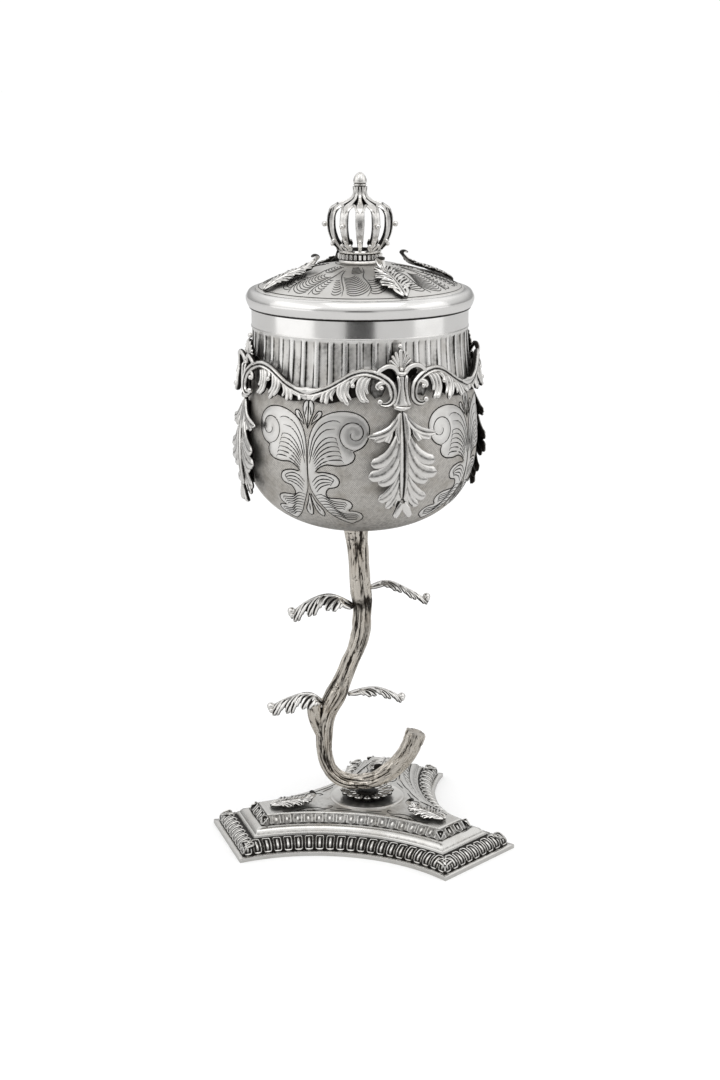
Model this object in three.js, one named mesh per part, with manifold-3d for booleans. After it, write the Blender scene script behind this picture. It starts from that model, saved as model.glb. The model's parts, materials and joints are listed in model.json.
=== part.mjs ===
// A covered ceremonial goblet in silver: a crowned lid over a fluted and garlanded bowl, which a
// gnarled branch carries above a three-armed foot. Millimetres, +Z up, with the origin at the
// centre of the foot's underside. The front of the goblet faces -Y.
import * as THREE from "three";
import { mergeVertices } from "three/addons/utils/BufferGeometryUtils.js";
import Module from "manifold-3d";

// Clearance that is left between two castings where they touch.
const SEAT_GAP = 0.3;

// Joining two forms leaves no facets smaller than this.
const SMALLEST_DETAIL = 0.06;

// Foot: three arms with straight ends and hollowed sides, stepped in bands towards the top.
const FOOT_REACH = 67.3;
const FOOT_END_HALF_WIDTH = 24.3;
const FOOT_SIDE_HOLLOW = 16.4;
const FOOT_TURN_DEG = 198;
const FLANGE_HEIGHT = 1.9;
const FLANGE_LEDGE = 1.9;
const GADROON_RUN = 6.3;
const GADROON_RISE = 4.9;
const GADROON_DEPTH = 0.6;
const GADROONS_PER_SIDE = 18;
const GADROONS_PER_END = 8;
const FILLET_WIDTH = 0.8;
const FILLET_HEIGHT = 1.4;
const COVE_RUN = 2.7;
const COVE_RISE = 2.3;
const TONGUE_LEDGE = 0.8;
const TONGUE_RUN = 3.5;
const TONGUE_RISE = 4.0;
const DISC_RADIUS = 17;
const DISC_HEIGHT = 0.5;

// Rosette between the foot and the branch.
const ROSETTE_RADIUS = 12.3;
const ROSETTE_SEAT_RADIUS = 4.2;
const ROSETTE_HEIGHT = 1.9;
const ROSETTE_PETALS = 16;
const ROSETTE_PETAL_DEPTH = 1.5;

// Branch: its route is a free form, kept as shares of its height.
const BRANCH_HEIGHT = 126.2;
const BRANCH_RADIUS = 4.4;
const BARK_RIDGES = 6;
const BARK_DEPTH = 0.5;
const STUB_RADIUS = 2.8;

// Bowl: open at the top, with a plain rim band over a fluted band over a round belly.
const BOWL_AXIS_X = -3.3;
const BOWL_RIM_RADIUS = 47.3;
const BOWL_BELLY_RADIUS = 51.6;
const BOWL_BELLY_DEPTH = 41.8;
const BOWL_BELLY_SQUARENESS = 2.4;
const BOWL_UPPER_HEIGHT = 56.0;
const BOWL_WALL = 1.3;
const RIM_BAND_HEIGHT = 8.2;
const FLUTE_BAND_HEIGHT = 25.5;
const FLUTE_DEPTH = 0.7;
const FLUTES = 48;

// Ornament on the bowl: four garlands with scrolls, and a leaf drop under each.
const MOUNTS = 4;
const MOUNT_TURN_DEG = -70.5;
const GARLAND_DROP = 30.7;
const MOUNT_HEIGHT = 26.2;
const GARLAND_RELIEF = 3.2;
const VOLUTE_RELIEF = 6.0;
const CARTOUCHE_RELIEF = 4.8;
const PENDANT_LENGTH = 40.6;
const PENDANT_HALF_WIDTH = 14.6;
const PENDANT_RELIEF = 5.2;
const PENDANT_CURL = 5.6;

// Lid: a dome with a rolled rim, and a collar that drops into the bowl.
const LID_OVERHANG = 2.4;
const LID_RIM_HEIGHT = 8.0;
const LID_ROLL_WIDTH = 4.2;
const LID_DOME_RISE = 11.3;
const LID_WALL = 1.2;
const COLLAR_DEPTH = 5.5;
const COLLAR_CLEARANCE = 0.5;

// Crown: a bead ring, arches that swell and gather into a neck, and a bud.
const CROWN_RING_RADIUS = 9.3;
const CROWN_RING_HEIGHT = 4.0;
const CROWN_RING_WIDTH = 2.2;
const CROWN_HEIGHT = 38.7;
const CROWN_SWELL_RADIUS = 13.7;
const CROWN_ARCHES = 12;
const CROWN_ARCH_RADIUS = 1.1;
const CROWN_BALL_RADIUS = 1.2;
const BUD_RADIUS = 3.0;

// Applied leaves on the lid and on the foot, and free leaves on the branch.
const LID_LEAF_TURN_DEG = -65.5;
const LID_LEAF_LENGTH = 25;
const LID_LEAF_HALF_WIDTH = 7;
const FOOT_LEAF_LENGTH = 21;
const FOOT_LEAF_HALF_WIDTH = 6;
const FOOT_LEAF_SETBACK = 5;
const BRANCH_LEAF_LENGTH = 31;
const BRANCH_LEAF_HALF_WIDTH = 5.6;
const LEAF_THICKNESS = 1.1;
const LEAF_RIDGE = 1.3;
const LEAF_CURL = 3.0;

// Facets of the round pieces.
const BOWL_SIDES = FLUTES;
const BOWL_INNER_SIDES = FLUTES / 2;
const LID_SIDES = 36;
const LID_INNER_SIDES = LID_SIDES / 2;
const CROWN_SIDES = 20;

const wasm = await Module();
wasm.setup();

const radians = THREE.MathUtils.degToRad;
const turn = 2 * Math.PI;

// Foot profile: inset from the outline and height, from the flange to the top.
const gadroonInset = FLANGE_LEDGE;
const filletInset = gadroonInset + GADROON_RUN;
const coveInset = filletInset + FILLET_WIDTH;
const tongueInset = coveInset + COVE_RUN + TONGUE_LEDGE;
const topInset = tongueInset + TONGUE_RUN;
const filletBase = FLANGE_HEIGHT + GADROON_RISE;
const filletTop = filletBase + FILLET_HEIGHT;
const tongueBase = filletTop + COVE_RISE;
const footTop = tongueBase + TONGUE_RISE;

// Heights up the goblet, each one seated on the piece below it.
const rosetteBase = footTop + DISC_HEIGHT + SEAT_GAP;
const branchBase = rosetteBase + ROSETTE_HEIGHT + SEAT_GAP;
const bowlBase = branchBase + BRANCH_HEIGHT + SEAT_GAP;
const bellyLevel = bowlBase + BOWL_BELLY_DEPTH;
const bowlTop = bellyLevel + BOWL_UPPER_HEIGHT;
const fluteTop = bowlTop - RIM_BAND_HEIGHT;
const fluteFoot = fluteTop - FLUTE_BAND_HEIGHT;
const garlandLevel = bowlTop - GARLAND_DROP;
const lidBase = bowlTop + SEAT_GAP;
const lidShoulder = lidBase + LID_RIM_HEIGHT;
const lidRadius = BOWL_RIM_RADIUS + LID_OVERHANG;
const domeRadius = lidRadius - LID_ROLL_WIDTH;
const crownBase = domeHeight(CROWN_RING_RADIUS) + SEAT_GAP;

// Height of the lid's dome at a radius from its axis.
function domeHeight(radius) {
  const share = Math.min(radius / domeRadius, 1);
  return lidShoulder + LID_DOME_RISE * (1 - share ** 2) ** 0.9;
}

// A closed BufferGeometry from a list of points and a list of triangles.
function geometryOf(points, triangles) {
  const geometry = new THREE.BufferGeometry();
  geometry.setAttribute("position", new THREE.Float32BufferAttribute(points.flat(), 3));
  geometry.setIndex(triangles.flat());
  return geometry;
}

// A geometry as a manifold-3d solid.
function solidOf(geometry) {
  const bare = geometry.clone();
  bare.deleteAttribute("normal");
  bare.deleteAttribute("uv");
  const merged = mergeVertices(bare, 1e-4);
  return new wasm.Manifold(
    new wasm.Mesh({
      numProp: 3,
      vertProperties: merged.attributes.position.array,
      triVerts: new Uint32Array(merged.index.array),
    }),
  );
}

// A manifold-3d solid as a geometry.
function meshOf(solid) {
  const { vertProperties, triVerts, numProp } = solid.getMesh();
  const points = [];
  for (let i = 0; i < vertProperties.length; i += numProp) {
    points.push([vertProperties[i], vertProperties[i + 1], vertProperties[i + 2]]);
  }
  return geometryOf(points, [Array.from(triVerts)]);
}

// Triangles that fill a ring of points, seen from the side that the ring runs round anticlockwise.
function capTriangles(ring, start) {
  const normal = new THREE.Vector3();
  ring.forEach((p, i) => {
    const q = ring[(i + 1) % ring.length];
    normal.x += (p[1] - q[1]) * (p[2] + q[2]);
    normal.y += (p[2] - q[2]) * (p[0] + q[0]);
    normal.z += (p[0] - q[0]) * (p[1] + q[1]);
  });
  const turned = new THREE.Quaternion().setFromUnitVectors(
    normal.normalize(),
    new THREE.Vector3(0, 0, 1),
  );
  const flat = ring.map((p) => {
    const v = new THREE.Vector3(...p).applyQuaternion(turned);
    return new THREE.Vector2(v.x, v.y);
  });
  return THREE.ShapeUtils.triangulateShape(flat, []).map((t) => t.map((i) => i + start));
}

// Skins a stack of rings, each { at: share of the way round per point, points }, and caps both ends.
// The rings run anticlockwise seen from the far end of the stack, and may differ in point count.
function loft(rings) {
  const points = rings.flatMap((ring) => ring.points);
  const triangles = [];
  let start = 0;
  for (let k = 0; k + 1 < rings.length; k += 1) {
    const low = rings[k];
    const high = rings[k + 1];
    const next = start + low.points.length;
    let i = 0;
    let j = 0;
    while (i < low.points.length || j < high.points.length) {
      const lowNext = i + 1 < low.at.length ? low.at[i + 1] : 1 + (i - low.at.length + 1);
      const highNext = j + 1 < high.at.length ? high.at[j + 1] : 1 + (j - high.at.length + 1);
      const a = start + (i % low.points.length);
      const b = next + (j % high.points.length);
      if (lowNext <= highNext && i < low.points.length) {
        triangles.push([a, start + ((i + 1) % low.points.length), b]);
        i += 1;
      } else {
        triangles.push([a, next + ((j + 1) % high.points.length), b]);
        j += 1;
      }
    }
    start = next;
  }
  const bottom = capTriangles(rings[0].points, 0).map(([a, b, c]) => [a, c, b]);
  return geometryOf(points, [...triangles, ...bottom, ...capTriangles(rings.at(-1).points, start)]);
}

// A ring of points round an upright axis at (BOWL_AXIS_X, 0) or at the origin.
function roundRing(radius, z, count, axisX = 0, radiusAt = () => radius) {
  const at = Array.from({ length: count }, (_, i) => i / count);
  const points = at.map((share, i) => [
    axisX + radiusAt(i) * Math.cos(turn * share),
    radiusAt(i) * Math.sin(turn * share),
    z,
  ]);
  return { at, points };
}

// The foot's outline, inset by a distance, with a number of steps along each end and each side.
// A ripple(step) adds a further inset at every point.
function footRing(inset, z, endSteps, sideSteps, ripple = () => 0) {
  const cornerRadius = Math.hypot(FOOT_REACH, FOOT_END_HALF_WIDTH);
  const halfAngle = turn / 6 - Math.atan2(FOOT_END_HALF_WIDTH, FOOT_REACH);
  const halfChord = cornerRadius * Math.sin(halfAngle);
  const sideRadius = (halfChord ** 2 + FOOT_SIDE_HOLLOW ** 2) / (2 * FOOT_SIDE_HOLLOW);
  const sideCentre = cornerRadius * Math.cos(halfAngle) - FOOT_SIDE_HOLLOW + sideRadius;
  // The ends step in a little faster than the sides.
  const endInsetRatio = 1.1;
  const at = [];
  const points = [];
  for (let arm = 0; arm < 3; arm += 1) {
    const heading = radians(FOOT_TURN_DEG) + (arm * turn) / 3;
    const steps = endSteps + sideSteps;
    for (let i = 0; i < steps; i += 1) {
      const along = i < endSteps ? i / endSteps : (i - endSteps) / sideSteps;
      const d = inset + ripple(i < endSteps ? i : i - endSteps);
      const reach = FOOT_REACH - endInsetRatio * d;
      const centreX = sideCentre * Math.cos(turn / 6);
      const centreY = sideCentre * Math.sin(turn / 6);
      const halfWidth = centreY - Math.sqrt((sideRadius + d) ** 2 - (reach - centreX) ** 2);
      let x = reach;
      let y = halfWidth * (2 * along - 1);
      if (i >= endSteps) {
        const first = Math.atan2(halfWidth - centreY, reach - centreX);
        const bisector = -turn / 3;
        const angle = first + 2 * (bisector - first) * along;
        x = centreX + (sideRadius + d) * Math.cos(angle);
        y = centreY + (sideRadius + d) * Math.sin(angle);
      }
      at.push((arm + (i < endSteps ? 0.5 * along : 0.5 + 0.5 * along)) / 3);
      points.push([
        x * Math.cos(heading) - y * Math.sin(heading),
        x * Math.sin(heading) + y * Math.cos(heading),
        z,
      ]);
    }
  }
  return { at, points };
}

function makeFoot() {
  const coarse = (inset, z) => footRing(inset, z, 1, 8);
  const valley = (depth) => (step) => (step % 2 ? depth : 0);
  const fine = (inset, z, depth) =>
    footRing(inset, z, 2 * GADROONS_PER_END, 2 * GADROONS_PER_SIDE, valley(depth));
  const steps = loft([
    coarse(0, 0),
    coarse(0, FLANGE_HEIGHT),
    coarse(gadroonInset, FLANGE_HEIGHT),
    fine(gadroonInset + 0.06 * GADROON_RUN, FLANGE_HEIGHT + 0.5 * GADROON_RISE, GADROON_DEPTH),
    fine(gadroonInset + 0.42 * GADROON_RUN, FLANGE_HEIGHT + 0.9 * GADROON_RISE, 1.4 * GADROON_DEPTH),
    coarse(filletInset, filletBase),
    coarse(filletInset, filletTop),
    coarse(coveInset, filletTop),
    coarse(coveInset + 0.35 * COVE_RUN, filletTop + 0.7 * COVE_RISE),
    coarse(coveInset + COVE_RUN, tongueBase),
    coarse(tongueInset, tongueBase),
    coarse(topInset, footTop),
  ]);
  const disc = loft([
    roundRing(DISC_RADIUS, footTop - DISC_HEIGHT, 24),
    roundRing(DISC_RADIUS - DISC_HEIGHT, footTop + DISC_HEIGHT, 24),
  ]);
  return meshOf(solidOf(steps).add(solidOf(disc)));
}

function makeRosette() {
  const scallop = (radius, share) => (i) => radius - (i % 2 ? share * ROSETTE_PETAL_DEPTH : 0);
  const count = 2 * ROSETTE_PETALS;
  const inner = ROSETTE_SEAT_RADIUS;
  return loft([
    roundRing(0, rosetteBase, count, 0, scallop(0.8 * ROSETTE_RADIUS, 0.5)),
    roundRing(0, rosetteBase + 0.75 * ROSETTE_HEIGHT, count, 0, scallop(ROSETTE_RADIUS, 1)),
    roundRing(1.3 * inner, rosetteBase + 0.6 * ROSETTE_HEIGHT, ROSETTE_PETALS),
    roundRing(inner, rosetteBase + ROSETTE_HEIGHT, ROSETTE_PETALS),
  ]);
}

// A tube along a route of { at: point, radius }, with bark ridges as a star-shaped section.
function sweep(route, sides, ridgeDepth) {
  const tangents = route.map((_, i) => {
    const before = route[Math.max(i - 1, 0)].at;
    const after = route[Math.min(i + 1, route.length - 1)].at;
    return new THREE.Vector3().subVectors(after, before).normalize();
  });
  let across = new THREE.Vector3(0, 1, 0);
  const rings = route.map(({ at: centre, radius }, i) => {
    across = across.clone().addScaledVector(tangents[i], -across.dot(tangents[i])).normalize();
    const side = new THREE.Vector3().crossVectors(tangents[i], across);
    const at = Array.from({ length: sides }, (_, k) => k / sides);
    const points = at.map((share, k) => {
      const r = radius - (k % 2 ? ridgeDepth : 0);
      const p = centre
        .clone()
        .addScaledVector(across, r * Math.cos(turn * share))
        .addScaledVector(side, r * Math.sin(turn * share));
      return [p.x, p.y, p.z];
    });
    return { at, points };
  });
  return loft(rings);
}

// The branch's route from the cut end of its hook to the bowl: x and z from the bowl's axis and
// the branch's foot, and radius, as shares of its height and of its radius.
const BRANCH_ROUTE = [
  [0.204, 0.222, 1.12],
  [0.19, 0.18, 1.06],
  [0.162, 0.127, 1.0],
  [0.114, 0.076, 0.95],
  [0.061, 0.042, 0.9],
  [0.003, 0.03, 0.85],
  [-0.055, 0.036, 0.82],
  [-0.101, 0.068, 0.8],
  [-0.127, 0.125, 0.83],
  [-0.132, 0.203, 0.91],
  [-0.129, 0.26, 0.94],
  [-0.113, 0.316, 1.0],
  [-0.08, 0.38, 1.05],
  [-0.057, 0.434, 0.92],
  [-0.033, 0.495, 0.91],
  [-0.009, 0.555, 0.97],
  [0.004, 0.614, 1.0],
  [0.009, 0.697, 0.96],
  [0.003, 0.757, 1.12],
  [-0.004, 0.845, 1.04],
  [-0.01, 0.934, 1.13],
  [-0.016, 1.0, 1.34],
];

// A smooth version of the branch's route, with growth added to its radius.
function branchRoute(growth = 0) {
  const knots = BRANCH_ROUTE.map(([x, z]) => {
    return new THREE.Vector3(BOWL_AXIS_X + x * BRANCH_HEIGHT, 0, branchBase + z * BRANCH_HEIGHT);
  });
  const curve = new THREE.CatmullRomCurve3(knots, false, "centripetal");
  const steps = 28;
  return Array.from({ length: steps + 1 }, (_, i) => {
    const t = i / steps;
    const k = Math.min(Math.floor(t * (knots.length - 1)), knots.length - 2);
    const rest = t * (knots.length - 1) - k;
    const share = (1 - rest) * BRANCH_ROUTE[k][2] + rest * BRANCH_ROUTE[k + 1][2];
    return { at: curve.getPoint(t), radius: share * BRANCH_RADIUS + growth };
  });
}

// A point beside the branch: a share of the way along its route, and an offset from its centre
// line in radii of the branch.
function besideBranch(share, [dx, dy, dz]) {
  const route = branchRoute();
  const centre = route[Math.round(share * (route.length - 1))].at;
  return centre.clone().addScaledVector(new THREE.Vector3(dx, dy, dz), BRANCH_RADIUS);
}

const STUB_FOOT_SHARE = 0.45;

function makeBranch(growth = 0) {
  const limb = sweep(branchRoute(growth), 2 * BARK_RIDGES, BARK_DEPTH);
  const stub = sweep(
    [
      { at: besideBranch(STUB_FOOT_SHARE, [0.23, 0, -0.45]), radius: 0.75 * STUB_RADIUS + growth },
      { at: besideBranch(STUB_FOOT_SHARE, [-0.68, -0.11, 0.68]), radius: STUB_RADIUS + growth },
      { at: besideBranch(STUB_FOOT_SHARE, [-1.05, -0.34, 2.5]), radius: 1.1 * STUB_RADIUS + growth },
    ],
    8,
    0,
  );
  // The top is cut level, for the bowl to rest on.
  const top = branchBase + BRANCH_HEIGHT + growth;
  return solidOf(limb).add(solidOf(stub)).trimByPlane([0, 0, -1], -top);
}

// Share of a belly's radius at a share of its depth.
function bellyShape(depth) {
  return (1 - depth ** BOWL_BELLY_SQUARENESS) ** (1 / BOWL_BELLY_SQUARENESS);
}

// Radius of the bowl's outside at a height.
function bowlRadius(z) {
  if (z < bellyLevel) {
    return BOWL_BELLY_RADIUS * bellyShape(Math.min((bellyLevel - z) / BOWL_BELLY_DEPTH, 1));
  }
  const share = Math.min((z - bellyLevel) / (fluteTop - bellyLevel), 1);
  const ease = 0.5 - 0.5 * Math.cos(Math.PI * share);
  return BOWL_BELLY_RADIUS + (BOWL_RIM_RADIUS - BOWL_BELLY_RADIUS) * ease;
}

function makeBowl() {
  const ring = (radius, z) => roundRing(radius, z, BOWL_SIDES, BOWL_AXIS_X);
  const innerRing = (radius, z) => roundRing(radius, z, BOWL_INNER_SIDES, BOWL_AXIS_X);
  const fluted = (z) => {
    const radiusAt = (i) => bowlRadius(z) - (i % 2 ? FLUTE_DEPTH : 0);
    return roundRing(0, z, 2 * FLUTES, BOWL_AXIS_X, radiusAt);
  };
  const fluteEnd = 0.04 * FLUTE_BAND_HEIGHT;
  const outerZ = [0.998, 0.95, 0.84, 0.66, 0.38, 0].map((d) => bellyLevel - d * BOWL_BELLY_DEPTH);
  const outer = outerZ.map((z) => ring(bowlRadius(z), z));
  const shoulder = [
    ring(bowlRadius(fluteFoot), fluteFoot),
    fluted(fluteFoot + fluteEnd),
    fluted(0.5 * (fluteFoot + fluteTop)),
    fluted(fluteTop - fluteEnd),
    ring(BOWL_RIM_RADIUS, fluteTop),
    ring(BOWL_RIM_RADIUS, bowlTop),
  ];
  // The inside is plain: it follows the outside at one wall's distance from the flutes' valleys.
  const fluteWall = BOWL_WALL + FLUTE_DEPTH;
  const innerRadius = BOWL_BELLY_RADIUS - fluteWall;
  const innerDepth = BOWL_BELLY_DEPTH - BOWL_WALL;
  const inner = [
    ring(BOWL_RIM_RADIUS - BOWL_WALL, bowlTop),
    ring(BOWL_RIM_RADIUS - BOWL_WALL, fluteTop),
    innerRing(BOWL_RIM_RADIUS - fluteWall, fluteTop - fluteEnd),
    innerRing(bowlRadius(fluteFoot) - fluteWall, fluteFoot),
    innerRing(innerRadius, bellyLevel),
    ...[0.45, 0.72, 0.9, 0.99].map((depth) =>
      innerRing(innerRadius * bellyShape(depth), bellyLevel - depth * innerDepth),
    ),
  ];
  return loft([...outer, ...shoulder, ...inner]);
}

// A place on the bowl's outside: an angle from the mount's middle, a height and a stand-off.
function onBowl(mount, angle, z, proud) {
  const heading = radians(MOUNT_TURN_DEG) + (mount * turn) / MOUNTS + angle;
  const radius = bowlRadius(z) + proud;
  return [BOWL_AXIS_X + radius * Math.cos(heading), radius * Math.sin(heading), z];
}

// A ridged band along stations of { angle, z, out, into, relief }: out and into are its widths to
// the left and right of its route, and relief is how far its ridge stands proud.
function bandOnBowl(mount, stations) {
  const rings = stations.map(({ angle, z, out, into, relief }, i) => {
    const before = stations[Math.max(i - 1, 0)];
    const after = stations[Math.min(i + 1, stations.length - 1)];
    const radius = bowlRadius(z);
    const run = new THREE.Vector2((after.angle - before.angle) * radius, after.z - before.z);
    run.normalize();
    const offset = (distance, proud) =>
      onBowl(mount, angle - (run.y * distance) / radius, z + run.x * distance, proud);
    const points = [
      offset(out, SEAT_GAP + 0.12 * relief),
      offset(0, relief),
      offset(-into, SEAT_GAP + 0.12 * relief),
    ];
    return { at: [0, 0.33, 0.67], points };
  });
  return loft(rings);
}

// The garland from the middle between two mounts to the ball of its scroll: degrees from the
// mount's middle, then, as shares of the mount's height, the rise over the garland's level and
// the widths of the band to both sides of its route.
const GARLAND_STATIONS = [
  [44.6, 0.008, 0.034, 0.038],
  [41.5, 0, 0.053, 0.084],
  [36.4, 0.031, 0.053, 0.176],
  [34, 0.057, 0.053, 0.092],
  [29.6, 0.149, 0.05, 0.16],
  [25.8, 0.248, 0.05, 0.374],
  [22.6, 0.309, 0.05, 0.267],
  [19.2, 0.34, 0.05, 0.458],
  [17, 0.344, 0.05, 0.29],
  [15, 0.336, 0.046, 0.427],
  [12.6, 0.309, 0.046, 0.073],
  [9.2, 0.252, 0.042, 0.053],
  [6.4, 0.16, 0.042, 0.046],
  [4.6, 0.046, 0.038, 0.038],
  [4.9, -0.069, 0.038, 0.038],
  [7.2, -0.137, 0.038, 0.038],
  [9.8, -0.122, 0.042, 0.053],
  [11.2, -0.069, 0.034, 0.034],
];

// The small arm that arches out from the middle of each mount.
const ARM_STATIONS = [
  [0.4, 0.29, 0.034, 0.034],
  [2.2, 0.393, 0.038, 0.038],
  [5, 0.458, 0.038, 0.046],
  [8.2, 0.45, 0.034, 0.046],
  [12.4, 0.328, 0.031, 0.031],
];

// The middle of a mount, a flared husk with a fan of petals over it: half widths and heights as
// shares of the mount's height.
const CARTOUCHE_OUTLINE = [
  [0.141, -0.198],
  [0.118, -0.122],
  [0.073, 0.019],
  [0.061, 0.191],
  [0.076, 0.321],
  [0.053, 0.389],
  [0.153, 0.519],
  [0.187, 0.664],
  [0.111, 0.634],
  [0.103, 0.733],
  [0.042, 0.721],
  [0.031, 0.802],
];

function makeMount(mount) {
  const mirrored = (table, side, relief) => {
    const stations = table.map(([degrees, rise, out, into], i) => ({
      angle: side * radians(degrees),
      z: garlandLevel + rise * MOUNT_HEIGHT,
      out: (side < 0 ? out : into) * MOUNT_HEIGHT,
      into: (side < 0 ? into : out) * MOUNT_HEIGHT,
      relief: relief(i / (table.length - 1)),
    }));
    return solidOf(bandOnBowl(mount, stations));
  };
  const swell = (share) => GARLAND_RELIEF + (VOLUTE_RELIEF - GARLAND_RELIEF) * share;
  const middle = leaf(
    CARTOUCHE_OUTLINE.map(([w, rise]) => [rise, w]),
    (along, across, proud) => {
      const z = garlandLevel + along * MOUNT_HEIGHT;
      // The fan of petals at the top is flatter than the husk.
      const relief = proud * (1 - 0.5 * THREE.MathUtils.smoothstep(along, 0.34, 0.53));
      const angle = (-across * MOUNT_HEIGHT) / bowlRadius(z);
      return onBowl(mount, angle, z, 1.5 * SEAT_GAP + relief);
    },
    { thickness: 0.45 * CARTOUCHE_RELIEF, ridge: 0.5 * CARTOUCHE_RELIEF },
  );
  return [-1, 1].reduce(
    (whole, side) =>
      whole
        .add(mirrored(GARLAND_STATIONS, side, swell))
        .add(mirrored(ARM_STATIONS, side, () => 0.8 * VOLUTE_RELIEF)),
    solidOf(middle),
  );
}

// A lobed leaf from an outline of [along, half width] pairs that run from root to tip. place() maps
// (along, across, proud) into space. Its middle stands proud by the ridge, and its back may be hollow.
function leaf(outline, place, { thickness, ridge, hollow }) {
  const count = outline.length;
  const points = [];
  const row = (side, proud) => {
    const start = points.length;
    outline.forEach(([along, across]) => {
      points.push(place(along, side * across, proud));
    });
    return start;
  };
  const rows = [row(1, thickness), row(0, thickness + ridge), row(-1, thickness), row(-1, 0)];
  if (hollow !== undefined) {
    rows.push(row(0, hollow));
  }
  rows.push(row(1, 0));
  const triangles = [];
  const strip = (a, b) => {
    for (let i = 0; i + 1 < count; i += 1) {
      triangles.push([a + i, b + i, b + i + 1], [a + i, b + i + 1, a + i + 1]);
    }
  };
  rows.forEach((start, k) => strip(start, rows[(k + 1) % rows.length]));
  const end = (i, flip) => {
    for (let k = 1; k + 1 < rows.length; k += 1) {
      const fan = [rows[0] + i, rows[k] + i, rows[k + 1] + i];
      triangles.push(flip ? fan : [fan[0], fan[2], fan[1]]);
    }
  };
  end(0, false);
  end(count - 1, true);
  return geometryOf(points, triangles);
}

// The leaf drop under each mount, as shares of its length and of its half width.
const PENDANT_OUTLINE = [
  [0, 0.062],
  [0.1, 0.103],
  [0.17, 0.288],
  [0.225, 0.589],
  [0.275, 1],
  [0.315, 0.726],
  [0.335, 0.274],
  [0.4, 0.247],
  [0.47, 0.479],
  [0.52, 0.808],
  [0.6, 0.863],
  [0.655, 0.562],
  [0.69, 0.219],
  [0.77, 0.329],
  [0.835, 0.548],
  [0.895, 0.37],
  [0.925, 0.199],
  [1, 0.082],
];

function makePendant(mount) {
  const [, mountFoot] = CARTOUCHE_OUTLINE[0];
  const top = garlandLevel + mountFoot * MOUNT_HEIGHT - SEAT_GAP;
  const place = (along, across, proud) => {
    const z = top - along * PENDANT_LENGTH;
    const curl = PENDANT_CURL * THREE.MathUtils.smoothstep(along, 0.86, 1.02);
    const relief = proud * (1 - 0.55 * THREE.MathUtils.smoothstep(along, 0.8, 1));
    const angle = (across * PENDANT_HALF_WIDTH) / bowlRadius(z);
    return onBowl(mount, angle, z, 1.5 * SEAT_GAP + curl + relief);
  };
  return leaf(PENDANT_OUTLINE, place, {
    thickness: 0.3 * PENDANT_RELIEF,
    ridge: 0.6 * PENDANT_RELIEF,
    hollow: 0.1 * PENDANT_RELIEF,
  });
}

function makeLid() {
  const collarRadius = BOWL_RIM_RADIUS - BOWL_WALL - COLLAR_CLEARANCE;
  const ring = (radius, z) => roundRing(radius, z, LID_SIDES, BOWL_AXIS_X);
  const innerRing = (radius, z) => roundRing(radius, z, LID_INNER_SIDES, BOWL_AXIS_X);
  const inside = collarRadius - LID_WALL;
  const under = (share) => innerRing(share * inside, domeHeight(share * inside) - LID_WALL);
  // The flat seat of the crown ends the dome.
  const dome = [0.99, 0.88, 0.72, 0.5].map((share) => share * domeRadius);
  return loft([
    under(0.3),
    under(0.65),
    under(0.96),
    innerRing(inside, lidBase),
    ring(inside, lidBase - COLLAR_DEPTH),
    ring(collarRadius, lidBase - COLLAR_DEPTH),
    ring(collarRadius, lidBase),
    ring(lidRadius - 0.36 * LID_ROLL_WIDTH, lidBase),
    ring(lidRadius - 0.07 * LID_ROLL_WIDTH, lidBase + 0.32 * LID_RIM_HEIGHT),
    ring(lidRadius, lidBase + 0.6 * LID_RIM_HEIGHT),
    ring(lidRadius - 0.33 * LID_ROLL_WIDTH, lidBase + 0.92 * LID_RIM_HEIGHT),
    ring(domeRadius + 0.12 * LID_ROLL_WIDTH, lidShoulder),
    ...dome.map((radius) => ring(radius, domeHeight(radius))),
    ring(CROWN_RING_RADIUS, domeHeight(CROWN_RING_RADIUS)),
  ]);
}

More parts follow.
